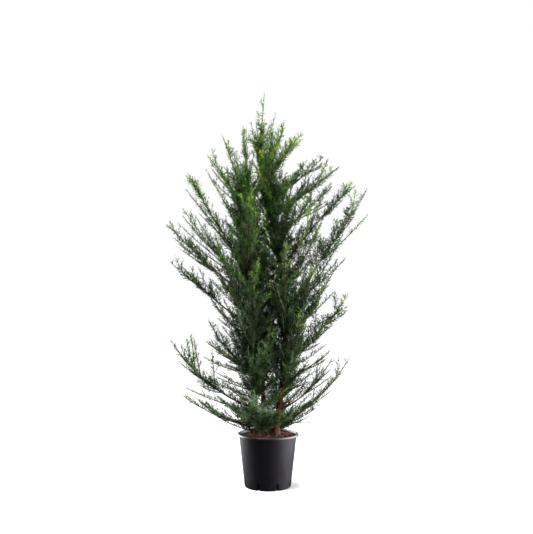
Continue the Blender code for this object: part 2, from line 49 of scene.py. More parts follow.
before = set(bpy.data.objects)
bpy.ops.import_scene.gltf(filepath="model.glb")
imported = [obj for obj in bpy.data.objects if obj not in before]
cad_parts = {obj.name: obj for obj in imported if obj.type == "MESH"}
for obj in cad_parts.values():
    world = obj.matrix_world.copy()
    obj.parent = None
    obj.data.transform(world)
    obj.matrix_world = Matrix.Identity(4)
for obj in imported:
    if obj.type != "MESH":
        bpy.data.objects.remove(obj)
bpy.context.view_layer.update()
BODY = "root"
GAP = 0.0003

# Pot: the source's sizes, and the slots round its foot
POT_LOW, POT_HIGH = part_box("pot")
POT_RIM_DEPTH = 0.010
POT_NECK_RADIUS = 0.1115
POT_FOOT_RADIUS = 0.089
POT_FOOT_CHAMFER = 0.003
POT_WALL = 0.0024
POT_FLOOR = 0.003
POT_SIDES = 128
SLOT_COUNT = 8
SLOT_WIDTH = 0.0095
SLOT_HEIGHT = 0.026
SLOT_UNDER_FOOT = 0.012

# Soil: the source's sizes, then the lumps and the bark chips on it
SOIL_TOP = 0.188
SOIL_LEVEL_RADIUS = 0.065
SOIL_FALL = 0.006
SOIL_RINGS = 26
SOIL_SPOKES = 110
CHIP_COUNT = 420

# Stems: each knot is the height, the place to the right, the place to the back, the radius
STEMS = {
    "trunk": (
        (0.190, 0.030, 0.000, 0.0125),
        (0.420, 0.060, -0.004, 0.0110),
        (0.620, 0.070, -0.004, 0.0098),
        (0.800, 0.056, 0.000, 0.0086),
        (1.050, 0.016, 0.002, 0.0060),
        (1.270, -0.022, 0.002, 0.0034),
        (1.340, -0.031, 0.001, 0.0026),
    ),
    "back_stem": (
        (0.190, -0.018, 0.026, 0.0085),
        (0.450, -0.022, 0.036, 0.0078),
        (0.750, -0.046, 0.046, 0.0062),
        (1.000, -0.066, 0.048, 0.0046),
        (1.180, -0.084, 0.046, 0.0032),
    ),
    "front_stem": (
        (0.190, -0.042, -0.018, 0.0080),
        (0.450, -0.058, -0.034, 0.0074),
        (0.750, -0.086, -0.048, 0.0058),
        (0.980, -0.104, -0.054, 0.0042),
        (1.150, -0.112, -0.056, 0.0032),
    ),
}
ROOT_FLARE = 0.55
ROOT_FLARE_HEIGHT = 0.030
STEM_SIDES = 28
STEM_RING_EVERY = 0.004

# Limbs. Each row is: name, stem, height of the foot on the stem, then for the furthest tip its
# reach from the pot's axis, its direction in degrees (0 right, 90 back, 180 left) and its height,
# and last how early the limb rises: under a half it sags and then turns up, over a half it arches.
# The boughs are bare as far as BARE_SHARE of their way, and their foliage goes on from there.
BOUGHS = (
    ("low_right", "trunk", 0.222, 0.328, 5, 0.480, 0.26),
    ("low_front_right", "trunk", 0.285, 0.274, 330, 0.483, 0.22),
    ("low_left", "front_stem", 0.290, 0.377, 186, 0.548, 0.22),
    ("low_front_left", "front_stem", 0.232, 0.337, 206, 0.355, 0.10),
    ("mid_right", "trunk", 0.485, 0.345, 14, 0.744, 0.30),
    ("mid_left", "front_stem", 0.600, 0.386, 189, 0.853, 0.54),
    ("high_left", "front_stem", 0.720, 0.409, 180, 1.017, 0.50),
    ("high_right", "trunk", 0.660, 0.419, 7, 1.175, 0.54),
)

# Branchlets, in rows of the same kind: foliage that grows straight from a stem, with no bare bough
BRANCHLETS = (
    ("foot_left", "front_stem", 0.222, 0.242, 190, 0.318, 0.06),
    ("foot_right", "trunk", 0.238, 0.232, 30, 0.322, 0.12),
    ("foot_front", "trunk", 0.240, 0.175, 300, 0.300, 0.20),
    ("foot_front_left", "front_stem", 0.240, 0.185, 236, 0.285, 0.16),
    ("low_back", "back_stem", 0.250, 0.300, 62, 0.450, 0.28),
    ("low_front", "front_stem", 0.325, 0.225, 272, 0.604, 0.34),
    ("right_low", "trunk", 0.395, 0.272, 22, 0.500, 0.36),
    ("right_lower_mid", "trunk", 0.465, 0.255, 342, 0.606, 0.44),
    ("right_mid", "trunk", 0.550, 0.266, 352, 0.830, 0.38),
    ("right_front_mid", "trunk", 0.620, 0.330, 328, 0.943, 0.42),
    ("right_back_mid", "trunk", 0.540, 0.300, 48, 0.900, 0.42),
    ("right_upper_mid", "trunk", 0.740, 0.230, 350, 1.050, 0.44),
    ("right_high_front", "trunk", 0.830, 0.357, 340, 1.140, 0.72),
    ("right_high_back", "trunk", 0.960, 0.300, 24, 1.205, 0.56),
    ("right_higher", "trunk", 1.040, 0.291, 351, 1.243, 0.56),
    ("right_highest", "trunk", 1.105, 0.228, 346, 1.280, 0.48),
    ("right_top", "trunk", 1.190, 0.147, 18, 1.412, 0.66),
    ("right_top_front", "trunk", 1.200, 0.078, 330, 1.440, 0.44),
    ("left_low_back", "back_stem", 0.420, 0.283, 155, 0.545, 0.34),
    ("left_lower_mid", "front_stem", 0.420, 0.240, 198, 0.625, 0.36),
    ("left_mid", "back_stem", 0.500, 0.262, 160, 0.740, 0.40),
    ("left_upper_mid", "back_stem", 0.600, 0.250, 172, 0.880, 0.46),
    ("left_high_back", "back_stem", 0.740, 0.380, 163, 1.110, 0.44),
    ("left_high", "front_stem", 0.850, 0.326, 194, 1.207, 0.48),
    ("left_top", "back_stem", 1.040, 0.264, 166, 1.330, 0.66),
    ("front_low", "trunk", 0.360, 0.250, 302, 0.700, 0.38),
    ("front_mid", "front_stem", 0.500, 0.290, 260, 0.820, 0.40),
    ("front_mid_left", "front_stem", 0.620, 0.290, 228, 0.940, 0.42),
    ("front_mid_right", "trunk", 0.560, 0.240, 284, 0.900, 0.42),
    ("front_high", "front_stem", 0.780, 0.285, 258, 1.110, 0.44),
    ("front_high_right", "trunk", 0.860, 0.190, 300, 1.180, 0.44),
    ("front_top", "trunk", 1.060, 0.130, 262, 1.340, 0.44),
    ("back_low", "back_stem", 0.340, 0.300, 124, 0.690, 0.38),
    ("back_mid", "back_stem", 0.520, 0.345, 80, 0.840, 0.40),
    ("back_high", "back_stem", 0.760, 0.340, 90, 1.130, 0.42),
    ("back_top", "trunk", 1.000, 0.160, 92, 1.320, 0.44),
)

# The stems' own tips: name, stem, then the tip's place to the right, to the back and its height
LEADERS = (
    ("leader", "trunk", -0.014, 0.000, 1.576),
    ("back_leader", "back_stem", -0.106, 0.040, 1.456),
    ("front_leader", "front_stem", -0.186, -0.060, 1.377),
)

# Long single shoots that show in the outline. Each row is: the limb or stem, the share of the limb's
# way or the height on the stem, the direction and the rise in degrees, the length and the curl.
# PLUMES are rows of the same kind for the thick bright shoots that catch the eye.
STRAYS = (
    ("low_left", 0.62, 186, 79, 0.140, 0.05),
    ("low_left", 0.44, 185, 84, 0.145, 0.05),
    ("low_left", 0.30, 188, 44, 0.120, 0.10),
    ("front_stem", 0.425, 190, 4, 0.200, 0.20),
    ("front_stem", 0.365, 202, 14, 0.170, 0.15),
    ("front_stem", 0.330, 188, 16, 0.200, 0.12),
    ("front_stem", 0.275, 196, 14, 0.285, 0.10),
    ("front_stem", 0.238, 212, 26, 0.200, 0.12),
    ("front_stem", 0.206, 198, 7, 0.215, 0.26),
    ("left_top", 0.16, 172, 38, 0.205, 0.12),
    ("left_top", 0.34, 172, 43, 0.150, 0.12),
    ("left_high", 0.34, 190, 46, 0.225, 0.08),
    ("left_high_back", 0.34, 166, 45, 0.310, 0.05),
    ("left_high_back", 0.30, 170, 37, 0.310, 0.08),
    ("high_left", 0.30, 186, 29, 0.185, 0.06),
    ("mid_left", 0.40, 190, 43, 0.170, 0.05),
    ("trunk", 1.290, 10, 72, 0.215, 0.10),
    ("trunk", 1.330, 160, 80, 0.130, 0.05),
    ("back_stem", 1.170, 170, 68, 0.200, 0.05),
    ("right_higher", 0.62, 350, 62, 0.120, 0.10),
    ("right_high_front", 0.74, 340, 78, 0.050, 0.05),
    ("right_top", 0.45, 10, 62, 0.060, 0.05),
    ("right_high_back", 0.45, 20, 66, 0.110, 0.10),
    ("high_right", 0.45, 5, 66, 0.150, 0.05),
    ("trunk", 0.240, 10, 32, 0.170, 0.10),
    ("trunk", 0.330, 12, 30, 0.140, 0.10),
    ("trunk", 0.350, 350, 14, 0.110, 0.10),
    ("front_stem", 0.975, 182, 60, 0.290, 0.02),
    ("back_stem", 0.950, 168, 57, 0.270, 0.02),
    ("trunk", 1.170, 165, 74, 0.215, 0.02),
    ("trunk", 1.100, 10, 72, 0.230, 0.02),
    ("trunk", 0.222, 12, 18, 0.160, 0.08),
    ("trunk", 0.212, 350, 13, 0.140, 0.12),
    ("front_stem", 0.360, 186, 10, 0.150, 0.14),
    ("back_stem", 0.400, 176, 12, 0.160, 0.14),
    ("trunk", 0.360, 8, 20, 0.150, 0.12),
    ("front_stem", 0.290, 318, 26, 0.110, 0.10),
    ("front_stem", 0.230, 300, 16, 0.090, 0.10),
    ("front_stem", 0.215, 262, 12, 0.085, 0.10),
    ("front_stem", 0.240, 240, 20, 0.100, 0.10),
    ("trunk", 0.300, 235, 40, 0.090, 0.10),
    ("trunk", 0.380, 262, 50, 0.110, 0.10),
    ("front_mid", 0.40, 285, 62, 0.130, 0.05),
    ("front_high", 0.40, 268, 66, 0.120, 0.05),
    ("front_mid_left", 0.50, 250, 50, 0.120, 0.05),
    ("back_mid", 0.45, 100, 50, 0.150, 0.05),
    ("back_mid", 0.60, 60, 48, 0.110, 0.05),
    ("back_high", 0.40, 72, 58, 0.150, 0.05),
    ("back_low", 0.45, 110, 56, 0.130, 0.05),
    ("low_back", 0.50, 80, 40, 0.110, 0.10),
    ("trunk", 1.200, 176, 77, 0.190, 0.02),
    ("back_stem", 1.190, 12, 79, 0.180, 0.02),
    ("trunk", 1.130, 186, 76, 0.200, 0.02),
)
PLUMES = (
    ("left_high", 0.66, 192, 62, 0.105, 0.05),
    ("left_high", 0.74, 206, 58, 0.090, 0.05),
    ("left_high", 0.80, 178, 52, 0.080, 0.05),
    ("low_left", 0.68, 184, 82, 0.135, 0.05),
    ("low_left", 0.70, 200, 74, 0.115, 0.05),
    ("front_mid", 0.72, 300, 70, 0.130, 0.05),
    ("front_low", 0.62, 292, 68, 0.115, 0.05),
    ("front_high", 0.66, 285, 64, 0.110, 0.05),
    ("front_high_right", 0.45, 288, 72, 0.120, 0.05),
    ("front_mid_right", 0.70, 280, 72, 0.120, 0.05),
    ("right_front_mid", 0.35, 300, 68, 0.115, 0.05),
    ("right_high_front", 0.80, 348, 50, 0.075, 0.05),
    ("back_mid", 0.70, 82, 66, 0.110, 0.05),
    ("back_high", 0.66, 96, 64, 0.110, 0.05),
)
BEND_OUT = 0.57
LEADER_RISE = 0.66
BARE_SHARE = 0.30
BOUGH_FOOT_RADIUS = 0.0046
BOUGH_END_RADIUS = 0.0028
BOUGH_SIDES = 14
BOUGH_RINGS = 60

# The source's rule for side shoots
SIDE_SPACING = 0.076
SIDE_FIRST = 0.10
SIDE_LAST = 0.86
SIDE_LONGEST = 0.150
SIDE_SHORTEST = 0.070
SIDE_SHARE_OF_REST = 0.72
SIDE_STUB = 0.028
SIDE_ANGLE = 42
SIDE_NARROWER_ON_LEFT = 15
SIDE_ROLL = 50
SIDE_CURL = 0.22
LEADER_SIDE_SHARE = 0.45
SEED = 11
SIDE_SEED = 500

# The finer shoots between them, the twiglets on those, and the short shoots inside the crown
FINE_SPACING = 0.018
FINE_LONGEST = 0.105
FINE_SHORTEST = 0.014
FINE_CROWDING = 1.45
LONG_COUNT = 3
LONG_COUNT_LOW = 5
LONG_SHARE = (0.50, 0.80)
LONG_ANGLE = 17
TWIGLET_SPACING = 0.024
TWIGLET_LONGEST = 0.048
TWIGLET_PARENT = 0.050
INNER_SPACING = 0.0040
INNER_LONGEST = 0.200
INNER_SHORTEST = 0.080
THIN_LOW = 0.6
FULLNESS_LOW = 0.69
FULLNESS_LESS_ON_LEFT = 0.16
SKIRT_COUNT = 26
GOLDEN_ANGLE = 137.5
BARE_TRUNK_TOP = 0.33

# Heights that part the crown into pieces, by the tip of the limb
ZONES = (
    ("low", 0.52),
    ("lower", 0.76),
    ("middle", 0.95),
    ("upper", 1.16),
    ("high", 1.27),
    ("top", 9.0),
)
TONES = ("deep", "dark", "mid", "fresh", "tip", "soft")
SOFT = TONES.index("soft")
PLUME_TONE = TONES.index("fresh")
FLOOR_TO_CAMERA = (0.30, 0.30, 0.30)
FLOOR_AS_LIGHT = (0.02, 0.02, 0.02)
FLOOR_GLOW_NEAR = 0.10
FLOOR_GLOW_FAR = 1.0
FLOOR_NEAR = 0.055
FLOOR_FAR = 0.125
FLOOR_SHADE_PLACE = (0.050, 0.010, 0.0)
ROOM_FRONT_SHARE = 0.01


class YewPotLook(bpy.types.PropertyGroup):
    """Sizes and finish of the pot and the soil."""

    rim_radius: bpy.props.FloatProperty(
        name="Rim radius",
        description="Half the width across the rolled rim",
        default=POT_HIGH.x,
        subtype="DISTANCE",
        unit="LENGTH",
    )
    height: bpy.props.FloatProperty(
        name="Height",
        description="From the underside to the top of the rim",
        default=POT_HIGH.z,
        subtype="DISTANCE",
        unit="LENGTH",
    )
    plastic: bpy.props.FloatVectorProperty(
        name="Plastic",
        description="Colour of the pot's plastic",
        default=(0.0034, 0.0022, 0.0052),
        size=3,
        min=0.0,
        max=1.0,
        subtype="COLOR",
    )
    roughness: bpy.props.FloatProperty(
        name="Roughness",
        description="How matt the plastic is",
        default=0.38,
        min=0.0,
        max=1.0,
        subtype="FACTOR",
    )
    soil: bpy.props.FloatVectorProperty(
        name="Soil",
        description="Colour of the damp soil",
        default=(0.045, 0.026, 0.016),
        size=3,
        min=0.0,
        max=1.0,
        subtype="COLOR",
    )
    chips: bpy.props.FloatVectorProperty(
        name="Chips",
        description="Colour of the bark chips on the soil",
        default=(0.210, 0.072, 0.036),
        size=3,
        min=0.0,
        max=1.0,
        subtype="COLOR",
    )


class YewWoodLook(bpy.types.PropertyGroup):
    """Relief and colours of the bark."""

    relief: bpy.props.FloatProperty(
        name="Relief",
        description="How deep the bark's flakes are on the trunk",
        default=0.0011,
        subtype="DISTANCE",
        unit="LENGTH",
    )
    bark: bpy.props.FloatVectorProperty(
        name="Bark",
        description="Colour of the reddish bark",
        default=(0.130, 0.045, 0.023),
        size=3,
        min=0.0,
        max=1.0,
        subtype="COLOR",
    )
    old_bark: bpy.props.FloatVectorProperty(
        name="Old bark",
        description="Colour in the bark's cracks and on old flakes",
        default=(0.052, 0.027, 0.019),
        size=3,
        min=0.0,
        max=1.0,
        subtype="COLOR",
    )
    twig: bpy.props.FloatVectorProperty(
        name="Twig",
        description="Colour of the brown twigs",
        default=(0.075, 0.048, 0.026),
        size=3,
        min=0.0,
        max=1.0,
        subtype="COLOR",
    )
    young_twig: bpy.props.FloatVectorProperty(
        name="Young twig",
        description="Colour of this year's green shoots",
        default=(0.085, 0.120, 0.036),
        size=3,
        min=0.0,
        max=1.0,
        subtype="COLOR",
    )


class YewFoliageLook(bpy.types.PropertyGroup):
    """Sizes and colours of the needles."""

    length: bpy.props.FloatProperty(
        name="Needle length",
        description="Length of a full-grown needle",
        default=0.0205,
        subtype="DISTANCE",
        unit="LENGTH",
    )
    width: bpy.props.FloatProperty(
        name="Needle width",
        description="Width of a full-grown needle",
        default=0.0029,
        subtype="DISTANCE",
        unit="LENGTH",
    )
    spacing: bpy.props.FloatProperty(
        name="Needle spacing",
        description="Distance along a shoot from one needle to the next",
        default=0.0028,
        precision=4,
        subtype="DISTANCE",
        unit="LENGTH",
    )
    deep: bpy.props.FloatVectorProperty(
        name="Deep",
        description="Needles deep inside the crown",
        default=(0.018, 0.046, 0.016),
        size=3,
        min=0.0,
        max=1.0,
        subtype="COLOR",
    )
    dark: bpy.props.FloatVectorProperty(
        name="Dark",
        description="Old needles near the outside",
        default=(0.021, 0.069, 0.016),
        size=3,
        min=0.0,
        max=1.0,
        subtype="COLOR",
    )
    mid: bpy.props.FloatVectorProperty(
        name="Mid",
        description="Most of the outer needles",
        default=(0.038, 0.124, 0.012),
        size=3,
        min=0.0,
        max=1.0,
        subtype="COLOR",
    )
    fresh: bpy.props.FloatVectorProperty(
        name="Fresh",
        description="This year's needles",
        default=(0.084, 0.205, 0.014),
        size=3,
        min=0.0,
        max=1.0,
        subtype="COLOR",
    )
    tip: bpy.props.FloatVectorProperty(
        name="Tip",
        description="The yellow-green needles at bright tips",
        default=(0.205, 0.325, 0.030),
        size=3,
        min=0.0,
        max=1.0,
        subtype="COLOR",
    )
    soft: bpy.props.FloatVectorProperty(
        name="Soft",
        description="The greyer needles on low shoots",
        default=(0.110, 0.178, 0.100),
        size=3,
        min=0.0,
        max=1.0,
        subtype="COLOR",
    )


class YewStageLook(bpy.types.PropertyGroup):
    """Camera, light and floor."""

    camera_distance: bpy.props.FloatProperty(
        name="Camera distance",
        description="From the camera to the pot's axis",
        default=2.2,
        subtype="DISTANCE",
        unit="LENGTH",
    )
    camera_height: bpy.props.FloatProperty(
        name="Camera height",
        description="Height of the camera over the floor",
        default=0.55,
        subtype="DISTANCE",
        unit="LENGTH",
    )
    camera_tilt: bpy.props.FloatProperty(
        name="Camera tilt",
        description="How far the camera looks up",
        default=math.radians(7.575),
        subtype="ANGLE",
        unit="ROTATION",
    )
    lens: bpy.props.FloatProperty(
        name="Lens",
        description="The camera's focal length on a 36 mm frame, in millimetres",
        default=37.18,
    )
    side_light: bpy.props.FloatProperty(
        name="Side lights",
        description="Power of the right upright soft box, in watts",
        default=130.0,
    )
    top_light: bpy.props.FloatProperty(
        name="Top light",
        description="Power of the soft box over the plant, in watts",
        default=120.0,
    )
    room_light: bpy.props.FloatProperty(
        name="Room light",
        description="Brightness of the white room round the plant",
        default=0.70,
    )


def new_material(name, roughness, specular=0.5):
    """A material, its node tree and its Principled shader, with the even values set on the shader."""
    made = bpy.data.materials.new(name)
    made.use_nodes = True
    shader = made.node_tree.nodes["Principled BSDF"]
    shader.inputs["Roughness"].default_value = roughness
    shader.inputs["Specular IOR Level"].default_value = specular
    return made, made.node_tree, shader


def colour_of(value):
    return (*value, 1.0)


def group_socket(group, name, kind, side, value=None):
    socket = group.interface.new_socket(name=name, in_out=side, socket_type=kind)
    if value is not None:
        socket.default_value = value
    return socket


def mottle_group():
    """Node group: a colour that wanders between two over the surface, and a height that goes with it."""
    found = bpy.data.node_groups.get("Mottle")
    if found:
        return found
    group = bpy.data.node_groups.new("Mottle", "ShaderNodeTree")
    group_socket(group, "Main Color", "NodeSocketColor", "INPUT")
    group_socket(group, "Second Color", "NodeSocketColor", "INPUT")
    group_socket(group, "Scale", "NodeSocketFloat", "INPUT", 60.0)
    group_socket(group, "Stretch", "NodeSocketFloat", "INPUT", 1.0)
    group_socket(group, "Low", "NodeSocketFloat", "INPUT", 0.40)
    group_socket(group, "High", "NodeSocketFloat", "INPUT", 0.62)
    group_socket(group, "Color", "NodeSocketColor", "OUTPUT")
    group_socket(group, "Mask", "NodeSocketFloat", "OUTPUT")
    nodes, links = group.nodes, group.links
    inputs = nodes.new("NodeGroupInput")
    outputs = nodes.new("NodeGroupOutput")
    place = nodes.new("ShaderNodeTexCoord")
    squeeze = nodes.new("ShaderNodeCombineXYZ")
    squeeze.inputs["X"].default_value = 1.0
    squeeze.inputs["Y"].default_value = 1.0
    links.new(inputs.outputs["Stretch"], squeeze.inputs["Z"])
    scaled = nodes.new("ShaderNodeVectorMath")
    scaled.operation = "MULTIPLY"
    links.new(place.outputs["Object"], scaled.inputs[0])
    links.new(squeeze.outputs["Vector"], scaled.inputs[1])
    spots = nodes.new("ShaderNodeTexNoise")
    spots.inputs["Detail"].default_value = 4.0
    spots.inputs["Roughness"].default_value = 0.6
    links.new(scaled.outputs["Vector"], spots.inputs["Vector"])
    links.new(inputs.outputs["Scale"], spots.inputs["Scale"])
    mask = nodes.new("ShaderNodeMapRange")
    links.new(spots.outputs["Fac"], mask.inputs["Value"])
    links.new(inputs.outputs["Low"], mask.inputs["From Min"])
    links.new(inputs.outputs["High"], mask.inputs["From Max"])
    blend = nodes.new("ShaderNodeMix")
    blend.data_type = "RGBA"
    links.new(mask.outputs["Result"], blend.inputs["Factor"])
    links.new(inputs.outputs["Main Color"], blend.inputs["A"])
    links.new(inputs.outputs["Second Color"], blend.inputs["B"])
    links.new(blend.outputs["Result"], outputs.inputs["Color"])
    links.new(mask.outputs["Result"], outputs.inputs["Mask"])
    return group


def place_mottle(tree, main, second, scale, stretch=1.0, low=0.40, high=0.62):
    """Puts the mottle group in a material with its own values."""
    node = tree.nodes.new("ShaderNodeGroup")
    node.node_tree = mottle_group()
    node.inputs["Main Color"].default_value = colour_of(main)
    node.inputs["Second Color"].default_value = colour_of(second)
    node.inputs["Scale"].default_value = scale
    node.inputs["Stretch"].default_value = stretch
    node.inputs["Low"].default_value = low
    node.inputs["High"].default_value = high
    return node


def add_bump(tree, shader, height, distance, strength=1.0):
    bump = tree.nodes.new("ShaderNodeBump")
    bump.inputs["Distance"].default_value = distance
    bump.inputs["Strength"].default_value = strength
    tree.links.new(height, bump.inputs["Height"])
    tree.links.new(bump.outputs["Normal"], shader.inputs["Normal"])


def mottled_material(name, main, second, scale, roughness, bump=0.0, **more):
    """A finish of two colours with, if asked, a relief that goes with them."""
    specular = more.pop("specular", 0.35)
    made, tree, shader = new_material(name, roughness, specular)
    mottle = place_mottle(tree, main, second, scale, **more)
    tree.links.new(mottle.outputs["Color"], shader.inputs["Base Color"])
    if bump:
        add_bump(tree, shader, mottle.outputs["Mask"], bump)
    return made


def scaled_colour(colour, factor):
    return tuple(min(1.0, part * factor) for part in colour)


def pot_material(look):
    """Satin plastic with a fine grain, dusty here and there, rougher where it is dusty."""
    made, tree, shader = new_material("black_plastic", look.roughness, 0.65)
    dust = place_mottle(tree, look.plastic, scaled_colour(look.plastic, 1.6), 22.0, low=0.45, high=0.8)
    tree.links.new(dust.outputs["Color"], shader.inputs["Base Color"])
    rough = tree.nodes.new("ShaderNodeMapRange")
    rough.inputs["To Min"].default_value = look.roughness - 0.03
    rough.inputs["To Max"].default_value = look.roughness + 0.08
    tree.links.new(dust.outputs["Mask"], rough.inputs["Value"])
    tree.links.new(rough.outputs["Result"], shader.inputs["Roughness"])
    grain = place_mottle(tree, look.plastic, look.plastic, 900.0, low=0.2, high=0.8)
    add_bump(tree, shader, grain.outputs["Mask"], 0.00008, 0.2)
    return made


def needle_material(name, colour):
    """A needle's green, wandering a little from place to place, and paler on its underside."""
    made, tree, shader = new_material(name, 0.52, 0.10)
    mottle = place_mottle(
        tree, scaled_colour(colour, 0.78), scaled_colour(colour, 1.28), 34.0, low=0.35, high=0.65
    )
    pale = tree.nodes.new("ShaderNodeMix")
    pale.data_type = "RGBA"
    pale.inputs["B"].default_value = colour_of(under_colour(colour))
    side = tree.nodes.new("ShaderNodeNewGeometry")
    share = tree.nodes.new("ShaderNodeMath")
    share.operation = "MULTIPLY"
    share.inputs[1].default_value = 0.55
    tree.links.new(side.outputs["Backfacing"], share.inputs[0])
    tree.links.new(share.outputs["Value"], pale.inputs["Factor"])
    tree.links.new(mottle.outputs["Color"], pale.inputs["A"])
    tree.links.new(pale.outputs["Result"], shader.inputs["Base Color"])
    return made


def under_colour(colour):
    """The dull yellow-green underside that goes with an upper side of this colour."""
    red, green, blue = colour
    return (min(1.0, red * 1.5 + 0.012), min(1.0, green * 1.25 + 0.014), min(1.0, blue * 1.4 + 0.010))


def mesh_object(name, points, corners, counts, materials, tones=None, smooth=True):
    """A mesh from flat arrays: points, each face's corners in a row, and the corners of each face."""
    mesh = bpy.data.meshes.new(name)
    mesh.vertices.add(len(points))
    mesh.vertices.foreach_set("co", np.ascontiguousarray(points, np.float32).ravel())
    mesh.loops.add(len(corners))
    mesh.loops.foreach_set("vertex_index", np.ascontiguousarray(corners, np.int32))
    mesh.polygons.add(len(counts))
    starts = np.concatenate([[0], np.cumsum(counts)[:-1]]).astype(np.int32)
    mesh.polygons.foreach_set("loop_start", starts)
    for material in materials:
        mesh.materials.append(material)
    if tones is not None:
        mesh.polygons.foreach_set("material_index", np.ascontiguousarray(tones, np.int32))
    mesh.polygons.foreach_set("use_smooth", np.full(len(counts), smooth))
    mesh.update(calc_edges=True)
    mesh.validate()
    made = bpy.data.objects.new(name, mesh)
    bpy.context.scene.collection.objects.link(made)
    return made


def dress(piece, slot_name, *nodes):
    """The piece rides on the plant's body and stands for these plain solids."""
    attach(piece, BODY)
    if nodes:
        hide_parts(*nodes)
    return piece


def grid_faces(rows, columns):
    """Corners of the quads of a closed band: rows rings of columns points."""
    row = np.arange(rows - 1)[:, None]
    column = np.arange(columns)[None, :]
    after = (column + 1) % columns
    corners = np.stack(
        [
            row * columns + column,
            row * columns + after,
            (row + 1) * columns + after,
            (row + 1) * columns + column,
        ],
        axis=-1,
    )
    return corners.reshape(-1)


def pot_profile(look):
    """From the underside's edge up the outside, over the rolled rim and down the inside."""
    foot, top = POT_FOOT_RADIUS, look.height
    neck_height = top - POT_RIM_DEPTH
    slope = (POT_NECK_RADIUS - foot) / neck_height
    profile = [(0.0, 0.0), (foot * 0.5, 0.0), (foot - POT_FOOT_CHAMFER, 0.0)]
    for degrees in (20, 45, 70):
        turn = math.radians(degrees)
        profile.append(
            (
                foot - POT_FOOT_CHAMFER * (1 - math.sin(turn)),
                POT_FOOT_CHAMFER * (1 - math.cos(turn)),
            )
        )
    for height in np.linspace(POT_FOOT_CHAMFER, neck_height, 18):
        profile.append((foot + slope * (height - POT_FOOT_CHAMFER), float(height)))
    roll = (look.rim_radius - POT_NECK_RADIUS + POT_WALL) / 2
    middle = look.rim_radius - roll
    lip_fall = 0.0012
    profile.append((POT_NECK_RADIUS + 0.0012, neck_height + 0.0009))
    profile.append((look.rim_radius - 0.0022, neck_height))
    profile.append((look.rim_radius - 0.0006, neck_height + lip_fall * 0.5))
    for degrees in range(0, 181, 15):
        turn = math.radians(degrees)
        profile.append((middle + roll * math.cos(turn), top - roll + roll * math.sin(turn)))
    inner_top = POT_NECK_RADIUS - POT_WALL
    profile.append((inner_top, neck_height))
    profile.append((foot - POT_WALL + slope * POT_FLOOR, POT_FLOOR))
    profile.append((0.0, POT_FLOOR))
    return profile


def turned_object(name, profile, sides, material):
    """A closed body turned round +Z, from a profile that starts and ends on the axis."""
    shape = bmesh.new()
    rings = []
    for radius, height in profile:
        if radius == 0:
            rings.append([shape.verts.new((0, 0, height))])
            continue
        ring = []
        for k in range(sides):
            turn = 2 * math.pi * k / sides
            ring.append(shape.verts.new((radius * math.cos(turn), radius * math.sin(turn), height)))
        rings.append(ring)
    for low, high in zip(rings, rings[1:]):
        for k in range(sides):
            near, far = k, (k + 1) % sides
            if len(low) == 1:
                shape.faces.new((low[0], high[near], high[far]))
            elif len(high) == 1:
                shape.faces.new((low[near], low[far], high[0]))
            else:
                shape.faces.new((low[near], low[far], high[far], high[near]))
    bmesh.ops.recalc_face_normals(shape, faces=shape.faces)
    mesh = bpy.data.meshes.new(name)
    shape.to_mesh(mesh)
    shape.free()
    mesh.materials.append(material)
    made = bpy.data.objects.new(name, mesh)
    bpy.context.scene.collection.objects.link(made)
    return made


def slot_cutter():
    """One mesh of upright blocks through the wall and the underside's edge, evenly round the pot."""
    shape = bmesh.new()
    deep = SLOT_UNDER_FOOT + POT_WALL + POT_FOOT_CHAMFER
    middle = POT_FOOT_RADIUS + deep / 2 - SLOT_UNDER_FOOT
    for k in range(SLOT_COUNT):
        turn = Matrix.Rotation(2 * math.pi * (k + 0.5) / SLOT_COUNT, 4, "Z")
        size = Matrix.Diagonal((deep, SLOT_WIDTH, 2 * SLOT_HEIGHT, 1))
        block = bmesh.ops.create_cube(shape, size=1.0)
        place = turn @ Matrix.Translation((middle, 0, 0)) @ size
        bmesh.ops.transform(shape, matrix=place, verts=block["verts"])
    mesh = bpy.data.meshes.new("slot_cutter")
    shape.to_mesh(mesh)
    shape.free()
    cutter = bpy.data.objects.new("slot_cutter", mesh)
    bpy.context.scene.collection.objects.link(cutter)
    return cutter


def cut_slots(pot):
    cutter = slot_cutter()
    boolean = pot.modifiers.new("slots", "BOOLEAN")
    boolean.operation = "DIFFERENCE"
    boolean.solver = "EXACT"
    boolean.object = cutter
    graph = bpy.context.evaluated_depsgraph_get()
    baked = bpy.data.meshes.new_from_object(pot.evaluated_get(graph))
    pot.modifiers.clear()
    pot.data = baked
    bpy.data.objects.remove(cutter, do_unlink=True)
    pot.data.shade_smooth()
    pot.data.set_sharp_from_angle(angle=math.radians(32))


def soil_height(x, y):
    """Lumpy top of the soil, level in the middle and falling a little to the wall."""
    radius = math.hypot(x, y)
    edge = POT_NECK_RADIUS - POT_WALL
    fall = max(0.0, (radius - SOIL_LEVEL_RADIUS) / (edge - SOIL_LEVEL_RADIUS))
    lumps = 0.0022 * noise.noise(Vector((x * 55, y * 55, 0.0)))
    crumbs = 0.0013 * noise.noise(Vector((x * 190, y * 190, 3.0)))
    return SOIL_TOP - SOIL_FALL * fall + lumps + crumbs


